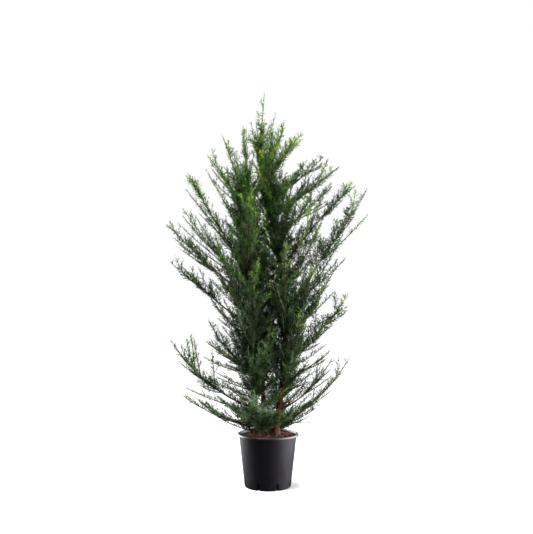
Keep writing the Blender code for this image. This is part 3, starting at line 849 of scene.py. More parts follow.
def soil_points():
    """Rings of the lumpy top from the middle out, then the wall and the underside."""
    points = []
    slope = (POT_NECK_RADIUS - POT_FOOT_RADIUS) / (POT_HIGH.z - POT_RIM_DEPTH)
    clear = POT_WALL + 1.5 * GAP
    edge_height = SOIL_TOP - SOIL_FALL
    edge = POT_FOOT_RADIUS - clear + slope * edge_height
    for ring in range(SOIL_RINGS):
        radius = max(0.0008, edge * ring / (SOIL_RINGS - 1))
        for spoke in range(SOIL_SPOKES):
            turn = 2 * math.pi * spoke / SOIL_SPOKES
            x, y = radius * math.cos(turn), radius * math.sin(turn)
            points.append((x, y, soil_height(x, y)))
    for radius, height in ((POT_FOOT_RADIUS - clear, POT_FLOOR + GAP), (0.0008, POT_FLOOR + GAP)):
        for spoke in range(SOIL_SPOKES):
            turn = 2 * math.pi * spoke / SOIL_SPOKES
            points.append((radius * math.cos(turn), radius * math.sin(turn), height))
    return np.array(points)


def chip_points(dice):
    """One split piece of bark: a thin uneven block, turned at random, lying on the soil."""
    long = dice.uniform(0.005, 0.015)
    wide = long * dice.uniform(0.35, 0.7)
    thick = dice.uniform(0.0010, 0.0026)
    corners = []
    for sign_x, sign_y, sign_z in BLOCK_CORNERS:
        corners.append(
            Vector(
                (
                    sign_x * long / 2 * dice.uniform(0.7, 1.1),
                    sign_y * wide / 2 * dice.uniform(0.6, 1.1),
                    sign_z * thick / 2 * dice.uniform(0.6, 1.2),
                )
            )
        )
    edge = POT_NECK_RADIUS - 0.008
    radius = edge * math.sqrt(dice.uniform(0.0, 1.0))
    turn = dice.uniform(0, 2 * math.pi)
    x, y = radius * math.cos(turn), radius * math.sin(turn)
    tilt = Matrix.Rotation(dice.gauss(0, 0.35), 3, "X") @ Matrix.Rotation(dice.gauss(0, 0.35), 3, "Y")
    spin = Matrix.Rotation(dice.uniform(0, 2 * math.pi), 3, "Z")
    rest = Vector((x, y, soil_height(x, y) + dice.uniform(0.0002, 0.0022)))
    return [tuple(rest + spin @ (tilt @ corner)) for corner in corners]


BLOCK_CORNERS = (
    (-1, -1, -1),
    (1, -1, -1),
    (1, 1, -1),
    (-1, 1, -1),
    (-1, -1, 1),
    (1, -1, 1),
    (1, 1, 1),
    (-1, 1, 1),
)
BLOCK_FACES = ((0, 3, 2, 1), (4, 5, 6, 7), (0, 1, 5, 4), (1, 2, 6, 5), (2, 3, 7, 6), (3, 0, 4, 7))


def stem_at(stem, height):
    """The stem's centre and radius at this height: a smooth curve through its knots."""
    knots = STEMS[stem]
    k = max(i for i in range(len(knots) - 1) if i == 0 or knots[i][0] <= height)
    before, start = knots[max(k - 1, 0)], knots[k]
    end, after = knots[k + 1], knots[min(k + 2, len(knots) - 1)]
    span = end[0] - start[0]
    t = (height - start[0]) / span
    found = []
    for axis in (1, 2, 3):
        leave = (end[axis] - before[axis]) / (end[0] - before[0]) * span
        arrive = (after[axis] - start[axis]) / (after[0] - start[0]) * span
        found.append(
            (2 * t**3 - 3 * t**2 + 1) * start[axis]
            + (t**3 - 2 * t**2 + t) * leave
            + (3 * t**2 - 2 * t**3) * end[axis]
            + (t**3 - t**2) * arrive
        )
    across, back, radius = found
    above = height - STEMS[stem][0][0]
    flare = 1 + ROOT_FLARE * math.exp(-max(above, 0) / ROOT_FLARE_HEIGHT)
    return Vector((across, back, height)), radius * flare


def bark_relief(turn, height, radius, depth, seed):
    """How far the bark stands out here: long upright flakes with raised edges, and small bumps."""
    place = Vector((math.cos(turn) * radius * 150, math.sin(turn) * radius * 150, height * 22 + seed))
    flakes = noise.noise(place)
    steps = math.floor(flakes * 3.5 + 0.5) / 3.5
    ridges = noise.noise(place * 2.7)
    return depth * (0.65 * steps + 0.35 * ridges)


def bark_tube(name, rings, sides, depth, material):
    """A closed limb with bark relief. Each ring is its centre, its radius and its two cross axes."""
    points = []
    seed = sum(map(ord, name)) % 97
    for number, (centre, radius, side_way, up_way) in enumerate(rings):
        for s in range(sides):
            turn = 2 * math.pi * s / sides
            out = math.cos(turn) * side_way + math.sin(turn) * up_way
            relief = bark_relief(turn, number * STEM_RING_EVERY, radius, depth, seed)
            points.append(tuple(centre + out * (radius + relief)))
    corners = grid_faces(len(rings), sides)
    counts = np.full(len(corners) // 4, 4)
    low_end = np.arange(sides)[::-1]
    high_end = np.arange(len(points) - sides, len(points))
    corners = np.concatenate([corners, low_end, high_end])
    counts = np.concatenate([counts, [sides, sides]])
    return mesh_object(name, np.array(points), corners, counts, [material])


def limb_curve(foot, tip, rise):
    """The three points of the limb's curve, bent at this share of its rise."""
    way = tip - foot
    bend = foot + Vector((way.x * BEND_OUT, way.y * BEND_OUT, way.z * rise))
    return np.array([tuple(foot), tuple(bend), tuple(tip)])


def limb_table():
    """Every limb as a dict: name, stem, the three points of its curve, and the share that is bare."""
    limbs = []
    for rows, bare in ((BOUGHS, BARE_SHARE), (BRANCHLETS, 0.0)):
        for name, stem, foot_height, reach, degrees, tip_height, rise in rows:
            foot, _ = stem_at(stem, foot_height)
            turn = math.radians(degrees)
            tip = Vector((reach * math.cos(turn), reach * math.sin(turn), tip_height))
            limbs.append(
                {"name": name, "stem": stem, "curve": limb_curve(foot, tip, rise), "bare": bare}
            )
    for name, stem, across, back, height in LEADERS:
        foot, _ = stem_at(stem, STEMS[stem][-1][0])
        curve = limb_curve(foot, Vector((across, back, height)), LEADER_RISE)
        limbs.append({"name": name, "stem": stem, "curve": curve, "bare": 0.0})
    return limbs


def on_curve(curve, t):
    """The point at share t of a curve of three points, and the unit way it runs there."""
    point = (1 - t) ** 2 * curve[0] + 2 * t * (1 - t) * curve[1] + t**2 * curve[2]
    way = (1 - t) * (curve[1] - curve[0]) + t * (curve[2] - curve[1])
    return point, way / np.linalg.norm(way)


def rest_of_curve(curve, start):
    """The stretch of a curve from this share to its end, as a curve of its own."""
    point, _ = on_curve(curve, start)
    return np.array([point, (1 - start) * curve[1] + start * curve[2], curve[2]])


def curve_length(curve):
    shares = np.linspace(0, 1, 21)[:, None]
    points = (1 - shares) ** 2 * curve[0] + 2 * shares * (1 - shares) * curve[1] + shares**2 * curve[2]
    return float(np.linalg.norm(np.diff(points, axis=0), axis=1).sum())


def side_curve(root, way, length, curl=SIDE_CURL):
    """A side shoot's curve: it leaves along way and curls upwards."""
    turned = way * (1 - curl) + np.array([0.0, 0.0, curl])
    tip = root + turned / np.linalg.norm(turned) * length
    return np.array([root, root + way * (0.5 * length), tip])


def side_way(along, side, roll, angle):
    """The way a side shoot leaves: to one side, rolled up from the level, at an angle to along."""
    across = np.cross(along, (0.0, 0.0, 1.0))
    across /= max(np.linalg.norm(across), 1e-6)
    upward = np.cross(across, along)
    sideways = across * (side * math.cos(roll)) + upward * math.sin(roll)
    return along * math.cos(angle) + sideways * math.sin(angle)


def leftness(limb):
    """How far to the left a limb points, from 0 to 1."""
    way = limb["curve"][2] - limb["curve"][0]
    return max(0.0, -way[0] / math.hypot(way[0], way[1], 1e-6))


def side_angle(limb):
    """How far side shoots stand off this limb: less on the left, where the shoots run together."""
    return SIDE_ANGLE - SIDE_NARROWER_ON_LEFT * leftness(limb)


def source_side_shoots(limb, curve, dice):
    """The side shoots that the source's solids have: (share of the way, curve, length)."""
    length = curve_length(curve)
    count = max(2, round(length * (SIDE_LAST - SIDE_FIRST) / SIDE_SPACING))
    share_of_size = LEADER_SIDE_SHARE if is_leader(limb) else 1.0
    found = []
    for k in range(count):
        t = SIDE_FIRST + (SIDE_LAST - SIDE_FIRST) * (k + dice.uniform(0.1, 0.5)) / count
        root, along = on_curve(curve, t)
        roll = math.radians(dice.uniform(-0.4 * SIDE_ROLL, SIDE_ROLL))
        angle = math.radians(side_angle(limb) * dice.uniform(0.8, 1.2))
        way = side_way(along, 1 if k % 2 else -1, roll, angle)
        size = SIDE_LONGEST + (SIDE_SHORTEST - SIDE_LONGEST) * t
        size = min(size, SIDE_SHARE_OF_REST * (1 - t) * length + SIDE_STUB)
        size *= dice.uniform(0.85, 1.1) * share_of_size
        found.append((t, side_curve(root, way, size), size))
    return found


def finer_shoots(curve, angle, spacing, sizes, dice, first=0.03, last=0.95, rolls=(-25, 80)):
    """Shoots between the source's own, by the same rule: (share of the way, curve, length)."""
    length = curve_length(curve)
    count = max(1, round(length * (last - first) / spacing))
    found = []
    for k in range(count):
        t = first + (last - first) * ((k + dice.uniform(0.1, 0.9)) / count) ** FINE_CROWDING
        root, along = on_curve(curve, t)
        roll = math.radians(dice.uniform(*rolls))
        turn = math.radians(angle * dice.uniform(0.65, 1.3))
        way = side_way(along, 1 if k % 2 else -1, roll, turn)
        size = sizes[0] + (sizes[1] - sizes[0]) * t
        size = min(size, 0.5 * (1 - t) * length + 0.012)
        size *= dice.uniform(0.55, 1.15)
        found.append((t, side_curve(root, way, size), size))
    return found


def long_shoots(curve, count, rolls, dice):
    """A few long thin shoots that run beside the limb: (share of the way, curve, length)."""
    length = curve_length(curve)
    found = []
    for k in range(count):
        t = 0.03 + 0.55 * (k + dice.uniform(0.0, 0.9)) / count
        root, along = on_curve(curve, t)
        roll = math.radians(dice.uniform(*rolls))
        angle = math.radians(LONG_ANGLE * dice.uniform(0.6, 1.3))
        way = side_way(along, dice.choice((-1, 1)), roll, angle)
        size = (1 - t) * length * dice.uniform(*LONG_SHARE)
        found.append((t, side_curve(root, way, size, 0.10), size))
    return found


def way_of(turn, rise):
    """The unit way of this direction and this rise, both in degrees."""
    turn, rise = math.radians(turn), math.radians(rise)
    return np.array([math.cos(turn) * math.cos(rise), math.sin(turn) * math.cos(rise), math.sin(rise)])


def stem_shoot(stem, height, turn, rise, size):
    """The curve of a shoot straight from a stem, at this turn round it and this rise, in degrees."""
    centre, _ = stem_at(stem, height)
    return side_curve(np.array(tuple(centre)), way_of(turn, rise), size)


def inner_shoots(stem, dice):
    """Short shoots straight from a stem, all the way round it and steeper towards its top."""
    foot, top = SOIL_TOP + 0.028, STEMS[stem][-1][0]
    count = round((top - foot) / INNER_SPACING)
    found = []
    for k in range(count):
        share = (k + dice.uniform(0.0, 1.0)) / count
        height = foot + (top - foot) * share
        turn = GOLDEN_ANGLE * k + dice.uniform(-30, 30)
        low = min(1.0, (height - foot) / 0.15)
        high = min(1.0, max(0.0, (height - 0.90) / 0.25))
        rise = dice.uniform(-4 + 16 * low + 30 * high, 22 + 36 * low + 20 * high)
        size = (INNER_LONGEST + (INNER_SHORTEST - INNER_LONGEST) * share) * dice.uniform(0.5, 1.1)
        size *= 1 + 0.6 * high
        at_front = math.sin(math.radians(turn)) < -0.3
        bare = stem == "trunk" and height < BARE_TRUNK_TOP and at_front and k % 3
        thinned = (height > 1.2 or height < 0.42) and k % 2
        if not (bare or thinned):
            found.append((stem_shoot(stem, height, turn, rise, size), size))
    return found


def skirt_shoots(stem, dice):
    """Level shoots round the foot of a stem, just over the pot's rim."""
    found = []
    for k in range(SKIRT_COUNT):
        height = POT_HIGH.z + 0.001 + 0.050 * k / SKIRT_COUNT
        turn = GOLDEN_ANGLE * k + dice.uniform(-30, 30)
        size = dice.uniform(0.07, 0.13)
        rise = dice.uniform(4, 24)
        at_front = math.sin(math.radians(turn)) < -0.3
        if not (stem == "trunk" and at_front):
            found.append((stem_shoot(stem, height, turn, rise, size), size))
    return found


def zone_of(height):
    return next(number for number, (_, top) in enumerate(ZONES) if height < top)


def is_leader(limb):
    return limb["name"].endswith("leader")


def new_shoot(curve, length, zone, outness, kind, fullness=1.0):
    """A row of the list of shoots. Outness goes from 0 at the stems to 1 at the crown's outside."""
    return {
        "curve": curve,
        "length": length,
        "zone": zone,
        "outness": outness,
        "kind": kind,
        "fullness": fullness,
        "tone": None,
    }


def twiglets(curve, zone, outness, dice, spacing=TWIGLET_SPACING, fullness=1.0):
    """The finest shoots, on a side shoot."""
    sizes = (TWIGLET_LONGEST, 0.4 * TWIGLET_LONGEST)
    found = finer_shoots(curve, SIDE_ANGLE, spacing, sizes, dice, first=0.15, last=0.85)
    return [new_shoot(shape, size, zone, outness, "twiglet", fullness) for _, shape, size in found]


def limb_shoots(number, limb):
    """Every leafy shoot of one limb: its own twig, the side shoots on that, and their twiglets."""
    own_dice = random.Random(SIDE_SEED + number)
    dice = random.Random(SEED * 2000 + number)
    twig = rest_of_curve(limb["curve"], limb["bare"]) if limb["bare"] else limb["curve"]
    zone = zone_of(limb["curve"][2][2])
    kind = "leader" if is_leader(limb) else "twig"
    full = FULLNESS_LOW if zone == 0 else 1.0 - FULLNESS_LESS_ON_LEFT * leftness(limb)
    shoots = [new_shoot(twig, curve_length(twig), zone, 0.55, kind, full)]
    sides = source_side_shoots(limb, twig, own_dice)
    on_left = leftness(limb)
    rolls = (-25 - 30 * on_left, 80 - 25 * on_left)
    thin = THIN_LOW if zone == 0 else 1.0
    sizes = (FINE_LONGEST * thin, FINE_SHORTEST)
    last = 0.95
    if is_leader(limb):
        last = 0.38 if limb["name"] == "leader" else 0.50
    spacing = FINE_SPACING * (2.2 if limb["name"] == "leader" else 1.0 / thin)
    sides += finer_shoots(twig, side_angle(limb) + 4, spacing, sizes, dice, last=last, rolls=rolls)
    if limb["name"] != "leader":
        count = LONG_COUNT_LOW if zone == 0 else LONG_COUNT
        for t, curve, size in long_shoots(twig, count, (-70, 70), dice):
            shoots.append(new_shoot(curve, size, zone, 0.75, "long", full))
            shoots.extend(twiglets(curve, zone, 0.8, dice, 1.6 * TWIGLET_SPACING, full))
    for t, curve, size in sides:
        outness = 0.25 + 0.75 * t
        shoots.append(new_shoot(curve, size, zone, outness, "side", full))
        if size > TWIGLET_PARENT:
            shoots.extend(twiglets(curve, zone, outness, dice, fullness=full))
    return shoots


def stray_shoots(limbs, rows, full, tone, dice):
    """The single shoots of a table, each with a few twiglets."""
    curves = {limb["name"]: limb["curve"] for limb in limbs}
    shoots = []
    for carrier, place, turn, rise, size, curl in rows:
        if carrier in curves:
            root, _ = on_curve(curves[carrier], place)
        else:
            root = np.array(tuple(stem_at(carrier, place)[0]))
        curve = side_curve(root, way_of(turn, rise), size, curl)
        zone = zone_of(curve[2][2])
        shoots.append(new_shoot(curve, size, zone, 0.8, "long", full))
        shoots.extend(twiglets(curve, zone, 0.85, dice, 1.2 * TWIGLET_SPACING, full))
    for shoot in shoots:
        shoot["tone"] = tone
    return shoots


def grow_shoots(limbs):
    """Every leafy shoot of the crown, from the limbs' own twigs to the finest."""
    shoots = []
    for number, limb in enumerate(limbs):
        shoots.extend(limb_shoots(number, limb))
    shoots.extend(stray_shoots(limbs, STRAYS, 0.90, None, random.Random(SEED)))
    shoots.extend(stray_shoots(limbs, PLUMES, 1.15, PLUME_TONE, random.Random(SEED + 1)))
    for number, stem in enumerate(STEMS):
        dice = random.Random(SEED * 3000 + number)
        for curve, size in inner_shoots(stem, dice) + skirt_shoots(stem, dice):
            zone = zone_of(curve[2][2])
            outness = 0.45 * min(1.0, max(0.0, (curve[2][2] - 0.85) / 0.3))
            outness += 0.50 * min(1.0, max(0.0, (0.60 - curve[2][2]) / 0.2))
            shoots.append(new_shoot(curve, size, zone, outness, "side"))
            shoots.extend(twiglets(curve, zone, outness + 0.1, dice))
    return [shoot for shoot in shoots if clear_of_pot(shoot["curve"])]


def clear_of_pot(curve):
    """Whether a shoot's middle and tip stay over the level of the pot's rim."""
    return min(curve[1][2], curve[2][2]) > POT_HIGH.z + 0.003


def pick_tones(shoots, rng):
    """A tone for each shoot: dark inside, brighter outside and higher up, with a few bright plumes. Painted
    shade darkens the middle of the front and the right side.
    """
    outness = np.array([shoot["outness"] for shoot in shoots])
    height = np.array([shoot["curve"][2][2] for shoot in shoots])
    across, ahead = np.array([shoot["curve"][2][:2] for shoot in shoots]).T
    # Painted shade: shoots in the middle of the front, under the top, get darker tones for the shade between
    # the side lights.
    shade = np.clip(1.3 - np.abs(across) / 0.15, 0, 1) * np.clip((1.16 - height) / 0.15, 0, 1)
    shade = shade * np.clip(-ahead / 0.08, 0, 1) * np.clip((height - 0.45) / 0.15, 0, 1)
    # Painted shade: shoots on the right, under the top, get darker tones against the strong light of the right
    # soft box.
    right = np.clip((across - 0.05) / 0.15, 0, 1) * np.clip((1.45 - height) / 0.2, 0, 1)
    top = np.clip((height - 1.28) / 0.15, 0, 1)
    score = 0.85 + 1.5 * outness + 0.7 * (height - 0.8) - 0.95 * shade - 1.05 * right + 0.7 * top
    score = score + rng.normal(0, 0.55, len(shoots))
    tones = np.clip(np.floor(score), 0, 3).astype(int)
    plume = (rng.random(len(shoots)) < 0.07) & (outness > 0.4)
    tones[plume] = np.where(height[plume] > 1.15, 4, 3)
    low = np.clip((0.75 - height) / 0.35, 0, 1)
    tones[(tones > 0) & (rng.random(len(shoots)) < 0.75 * low)] = SOFT
    for number, shoot in enumerate(shoots):
        if shoot["tone"] is not None:
            tones[number] = shoot["tone"]
    return tones


def unit(vectors):
    return vectors / np.maximum(np.linalg.norm(vectors, axis=-1, keepdims=True), 1e-9)


def needle_mesh(shoots, tones, look, rng):
    """Points, and tone by face, of all the needles on these shoots. Each needle has six points."""
    curves = np.array([shoot["curve"] for shoot in shoots])
    lengths = np.array([shoot["length"] for shoot in shoots])
    size = np.array([KIND_SIZE[shoot["kind"]] * shoot["fullness"] for shoot in shoots])
    spread_out = np.array([KIND_SPACING[shoot["kind"]] / shoot["fullness"] for shoot in shoots])
    counts = np.maximum(6, (lengths / (look.spacing * spread_out))).astype(int)
    row = np.repeat(np.arange(len(shoots)), counts)
    first = np.repeat(np.cumsum(counts) - counts, counts)
    order = np.arange(len(row)) - first
    share = (order + rng.uniform(0.2, 0.8, len(row))) / counts[row]
    share = 0.04 + 0.96 * share
    start, bend, end = (curves[row, k] for k in range(3))
    s = share[:, None]
    base = (1 - s) ** 2 * start + 2 * s * (1 - s) * bend + s**2 * end
    along = unit((1 - s) * (bend - start) + s * (end - bend))
    level = unit(np.cross(along, (0.0, 0.0, 1.0)) + 1e-4)
    upright = np.cross(level, along)
    loose = np.array([KIND_ROLL[shoot["kind"]] for shoot in shoots])
    roll = (loose * rng.normal(0, 1, len(shoots)))[row][:, None]
    across = level * np.cos(roll) + upright * np.sin(roll)
    upward = upright * np.cos(roll) - level * np.sin(roll)
    radial = np.clip((along[:, 2] - 0.45) / 0.35, 0, 1)
    side = np.where(order % 2, 1.0, -1.0)
    spread = np.radians(20 + 70 * radial)
    lift = np.radians(12) * (1 - radial) + rng.uniform(-1, 1, len(row)) * spread
    out = across * (side * np.cos(lift))[:, None] + upward * np.sin(lift)[:, None]
    lean = np.radians(rng.uniform(46, 70, len(row))) * (1 - 0.55 * share**5)
    way = unit(along * np.cos(lean)[:, None] + out * np.sin(lean)[:, None])
    face = upward * (1 - radial)[:, None] + along * (0.35 + 0.65 * radial)[:, None]
    face = face + rng.normal(0, 0.28, (len(row), 3))
    face = unit(face - way * (face * way).sum(axis=1)[:, None])
    edge = np.cross(way, face)
    grown = np.minimum(1, 0.55 + share * 4) * (1 - 0.5 * np.clip((share - 0.7) / 0.3, 0, 1))
    reach = look.length * size[row] * grown * rng.uniform(0.82, 1.12, len(row))
    half = 0.5 * look.width * np.minimum(1, 0.55 + 0.45 * reach / look.length)
    reach, half = reach[:, None], half[:, None]
    bow = 0.07 * reach * face
    near = base + way * (0.22 * reach) + 0.6 * bow
    far = base + way * (0.76 * reach) + 0.8 * bow
    tip = base + way * reach - 0.3 * bow
    points = np.stack(
        [base, near - edge * half, near + edge * half, far - edge * half, far + edge * half, tip], axis=1
    )
    bright = (share > 0.72) & (rng.random(len(row)) < 0.75) & (tones[row] > 0)
    is_soft = tones[row] == SOFT
    tone = np.where(is_soft, np.where(bright, 2, SOFT), np.clip(tones[row] + bright, 0, 4))
    return points.reshape(-1, 3), tone


NEEDLE_CORNERS = np.array([0, 2, 1, 1, 2, 4, 3, 3, 4, 5])
NEEDLE_COUNTS = np.array([3, 4, 3])
KIND_SIZE = {"leader": 0.70, "twig": 0.95, "long": 0.85, "side": 1.0, "twiglet": 0.86}
KIND_SPACING = {"leader": 1.25, "twig": 1.0, "long": 1.0, "side": 1.0, "twiglet": 1.05}
KIND_ROLL = {"leader": 0.4, "twig": 0.4, "long": 0.8, "side": 0.6, "twiglet": 0.7}
KIND_SIDES = {"leader": 6, "twig": 6, "long": 4, "side": 4, "twiglet": 3}
KIND_RINGS = {"leader": 10, "twig": 16, "long": 9, "side": 6, "twiglet": 3}
KIND_FOOT_RADIUS = {"leader": 0.0030, "twig": 0.0028, "long": 0.0022, "side": 0.0017, "twiglet": 0.0010}
KIND_TIP_RADIUS = {"leader": 0.0017, "twig": 0.0011, "long": 0.0011, "side": 0.0008, "twiglet": 0.0006}


def twig_tubes(shoots, kind):
    """Points and quads of the bare twigs of all shoots of one kind, closed to a point at the tip."""
    curves = np.array([shoot["curve"] for shoot in shoots])
    lengths = np.array([shoot["length"] for shoot in shoots])
    rings, sides = KIND_RINGS[kind] + 1, KIND_SIDES[kind]
    t = np.linspace(0, 1, rings)[None, :, None]
    start, bend, end = (curves[:, k][:, None, :] for k in range(3))
    centres = (1 - t) ** 2 * start + 2 * t * (1 - t) * bend + t**2 * end
    along = unit((1 - t) * (bend - start) + t * (end - bend))
    across = unit(np.cross(along, (0.0, 0.0, 1.0)) + 1e-4)
    upward = np.cross(across, along)
    foot = np.minimum(KIND_FOOT_RADIUS[kind], 0.0006 + 0.012 * lengths)[:, None, None]
    radius = foot + (KIND_TIP_RADIUS[kind] - foot) * t
    radius = radius * np.where(t > 0.999, 0.12, 1.0)
    turn = (2 * math.pi * np.arange(sides) / sides)[None, None, :, None]
    out = across[:, :, None, :] * np.cos(turn) + upward[:, :, None, :] * np.sin(turn)
    points = centres[:, :, None, :] + out * radius[:, :, :, None]
    band = grid_faces(rings, sides)
    shift = np.arange(len(shoots))[:, None] * (rings * sides)
    corners = (band[None, :] + shift).reshape(-1)
    return points.reshape(-1, 3), corners


def join_tubes(shoots):
    """The tubes of all kinds as one set of points, corners and finish by face."""
    all_points, all_corners, all_finish = [], [], []
    total = 0
    for kind in KIND_SIDES:
        own = [shoot for shoot in shoots if shoot["kind"] == kind]
        if not own:
            continue
        points, corners = twig_tubes(own, kind)
        all_points.append(points)
        all_corners.append(corners + total)
        all_finish.append(np.full(len(corners) // 4, 0 if kind == "twig" else 1))
        total += len(points)
    corners = np.concatenate(all_corners)
    counts = np.full(len(corners) // 4, 4)
    return np.concatenate(all_points), corners, counts, np.concatenate(all_finish)


class YEW_OT_pot(bpy.types.Operator):
    """Turn the pot with its rolled rim and cut the slots round its foot"""

    bl_idname = "yew.pot"
    bl_label = "Pot"

    def execute(self, context):
        look = context.scene.yew_pot
        pot = turned_object("pot_look", pot_profile(look), POT_SIDES, pot_material(look))
        cut_slots(pot)
        dress(pot, "black_plastic", "pot")
        return {"FINISHED"}


class YEW_OT_soil(bpy.types.Operator):
    """Fill the pot with lumpy soil and scatter bark chips on it"""

    bl_idname = "yew.soil"
    bl_label = "Soil and chips"

    def execute(self, context):
        look = context.scene.yew_pot
        soil = mottled_material(
            "damp_soil",
            look.soil,
            scaled_colour(look.soil, 0.45),
            150.0,
            0.95,
            bump=0.0016,
            specular=0.2,
        )
        points = soil_points()
        corners = grid_faces(SOIL_RINGS + 2, SOIL_SPOKES)
        counts = np.full(len(corners) // 4, 4)
        # Painted shade: the soil's sides and underside, which show through the slots at the pot's foot, are
        # near black for the shade inside the pot.
        dark = mottled_material("deep_soil", scaled_colour(look.soil, 0.08), (0, 0, 0), 90.0, 0.95)
        painted_shade_faces = np.repeat(np.arange(SOIL_RINGS + 1) >= SOIL_RINGS - 1, SOIL_SPOKES)
        made = mesh_object("soil_look", points, corners, counts, [soil, dark], painted_shade_faces)
        dress(made, "soil", "soil")
        chips = [
            mottled_material("bark_chip", look.chips, scaled_colour(look.chips, 0.45), 240.0, 0.9),
            mottled_material("dark_chip", scaled_colour(look.chips, 0.4), look.soil, 240.0, 0.9),
        ]
        dice = random.Random(SEED)
        points, corners, tones = [], [], []
        for chip in range(CHIP_COUNT):
            points.extend(chip_points(dice))
            tone = 0 if dice.random() < 0.55 else 1
            for face in BLOCK_FACES:
                corners.extend(8 * chip + corner for corner in face)
                tones.append(tone)
        counts = np.full(len(tones), 4)
        made = mesh_object("bark_chips", np.array(points), corners, counts, chips, tones, smooth=False)
        dress(made, "soil")
        return {"FINISHED"}


def bark_material(look):
    """Reddish bark in upright flakes, dark in the cracks."""
    return mottled_material(
        "flaky_bark",
        look.bark,
        look.old_bark,
        130.0,
        0.86,
        bump=0.0012,
        stretch=0.22,
        low=0.42,
        high=0.58,
        specular=0.25,
    )


class YEW_OT_stems(bpy.types.Operator):
    """Make the three stems with the relief of flaky bark"""

    bl_idname = "yew.stems"
    bl_label = "Stems"

    def execute(self, context):
        look = context.scene.yew_wood
        bark = bark_material(look)
        side_way, up_way = Vector((1, 0, 0)), Vector((0, 1, 0))
        for stem in STEMS:
            foot, top = SOIL_TOP - 0.004, STEMS[stem][-1][0]
            count = round((top - foot) / STEM_RING_EVERY)
            rings = []
            for k in range(count + 1):
                centre, radius = stem_at(stem, foot + (top - foot) * k / count)
                rings.append((centre, radius, side_way, up_way))
            depth = look.relief * (1.0 if stem == "trunk" else 0.6)
            dress(bark_tube(stem + "_bark", rings, STEM_SIDES, depth, bark), "bark", stem)
        return {"FINISHED"}


class YEW_OT_boughs(bpy.types.Operator):
    """Make the bare feet of the eight main boughs"""

    bl_idname = "yew.boughs"
    bl_label = "Boughs"

    def execute(self, context):
        look = context.scene.yew_wood
        bark = bpy.data.materials["flaky_bark"]
        for limb in limb_table():
            if not limb["bare"]:
                continue
            rings = []
            for k in range(BOUGH_RINGS + 1):
                point, along = on_curve(limb["curve"], limb["bare"] * k / BOUGH_RINGS)
                radius = BOUGH_FOOT_RADIUS + (BOUGH_END_RADIUS - BOUGH_FOOT_RADIUS) * k / BOUGH_RINGS
                across = Vector(along).cross(Vector((0, 0, 1))).normalized()
                rings.append((Vector(point), radius, across, across.cross(Vector(along))))
            name = "bough_" + limb["name"]
            piece = bark_tube(name + "_bark", rings, BOUGH_SIDES, 0.35 * look.relief, bark)
            dress(piece, "bark", name)
        return {"FINISHED"}


class YEW_OT_foliage(bpy.types.Operator):
    """Grow the finer shoots and the needles on every limb"""

    bl_idname = "yew.foliage"
    bl_label = "Twigs and needles"

    def execute(self, context):
        wood, look = context.scene.yew_wood, context.scene.yew_foliage
        twig_finishes = [
            mottled_material("brown_twig", wood.twig, scaled_colour(wood.twig, 0.5), 180.0, 0.75),
            mottled_material("green_twig", wood.young_twig, wood.twig, 60.0, 0.6),
        ]
        needle_finishes = [needle_material("needle_" + tone, getattr(look, tone)) for tone in TONES]
        limbs = limb_table()
        shoots = grow_shoots(limbs)
        rng = np.random.default_rng(SEED)
        tones = pick_tones(shoots, rng)
        for number, (zone, _) in enumerate(ZONES):
            rows = [k for k, shoot in enumerate(shoots) if shoot["zone"] == number]
            own = [shoots[k] for k in rows]
            stood_for = ["foliage_" + limb["name"] for limb in limbs if zone_of(limb["curve"][2][2]) == number]
            points, tone = needle_mesh(own, tones[rows], look, rng)
            count = len(tone)
            corners = (NEEDLE_CORNERS[None, :] + 6 * np.arange(count)[:, None]).reshape(-1)
            counts = np.tile(NEEDLE_COUNTS, count)
            needles = mesh_object(
                "needles_" + zone, points, corners, counts, needle_finishes, np.repeat(tone, 3)
            )
            dress(needles, "needles", *stood_for)
            points, corners, counts, finish = join_tubes(own)
            twigs = mesh_object("twigs_" + zone, points, corners, counts, twig_finishes, finish)
            dress(twigs, "bark", *stood_for)
            print(f"{zone}: {len(own)} shoots, {count} needles, {4 * count} triangles")
        return {"FINISHED"}


def soft_box(name, place, aim, size, power):
    """A square area light at place, facing aim."""
    light = bpy.data.lights.new(name, "AREA")
    light.shape = "RECTANGLE"
    light.size, light.size_y = size
    light.energy = power
    made = bpy.data.objects.new(name, light)
    made.location = place
    made.rotation_euler = (Vector(aim) - Vector(place)).to_track_quat("-Z", "Y").to_euler()
    made.visible_camera = False
    bpy.context.scene.collection.objects.link(made)
    return made


def white_room(strength):
    """A room that is pure white to the camera. As a light it is dim in front of the plant."""
    world = bpy.data.worlds.new("white_room")
    bpy.context.scene.world = world
    world.use_nodes = True
    tree = world.node_tree
    backdrop = tree.nodes["Background"]
    backdrop.inputs["Color"].default_value = (1.0, 1.0, 1.0, 1.0)
    backdrop.inputs["Strength"].default_value = 1.0
    direction = tree.nodes.new("ShaderNodeTexCoord")
    parts = tree.nodes.new("ShaderNodeSeparateXYZ")
    tree.links.new(direction.outputs["Generated"], parts.inputs["Vector"])
    falloff = tree.nodes.new("ShaderNodeMapRange")
    falloff.interpolation_type = "SMOOTHSTEP"
    falloff.inputs["From Min"].default_value = -0.75
    falloff.inputs["From Max"].default_value = 0.25
    falloff.inputs["To Min"].default_value = ROOM_FRONT_SHARE * strength
    falloff.inputs["To Max"].default_value = strength
    tree.links.new(parts.outputs["Y"], falloff.inputs["Value"])
    room = tree.nodes.new("ShaderNodeBackground")
    room.inputs["Color"].default_value = (1.0, 1.0, 1.0, 1.0)
    tree.links.new(falloff.outputs["Result"], room.inputs["Strength"])
    path = tree.nodes.new("ShaderNodeLightPath")
    pick = tree.nodes.new("ShaderNodeMixShader")
    tree.links.new(path.outputs["Is Camera Ray"], pick.inputs["Fac"])
    tree.links.new(room.outputs["Background"], pick.inputs[1])
    tree.links.new(backdrop.outputs["Background"], pick.inputs[2])
    tree.links.new(pick.outputs["Shader"], tree.nodes["World Output"].inputs["Surface"])


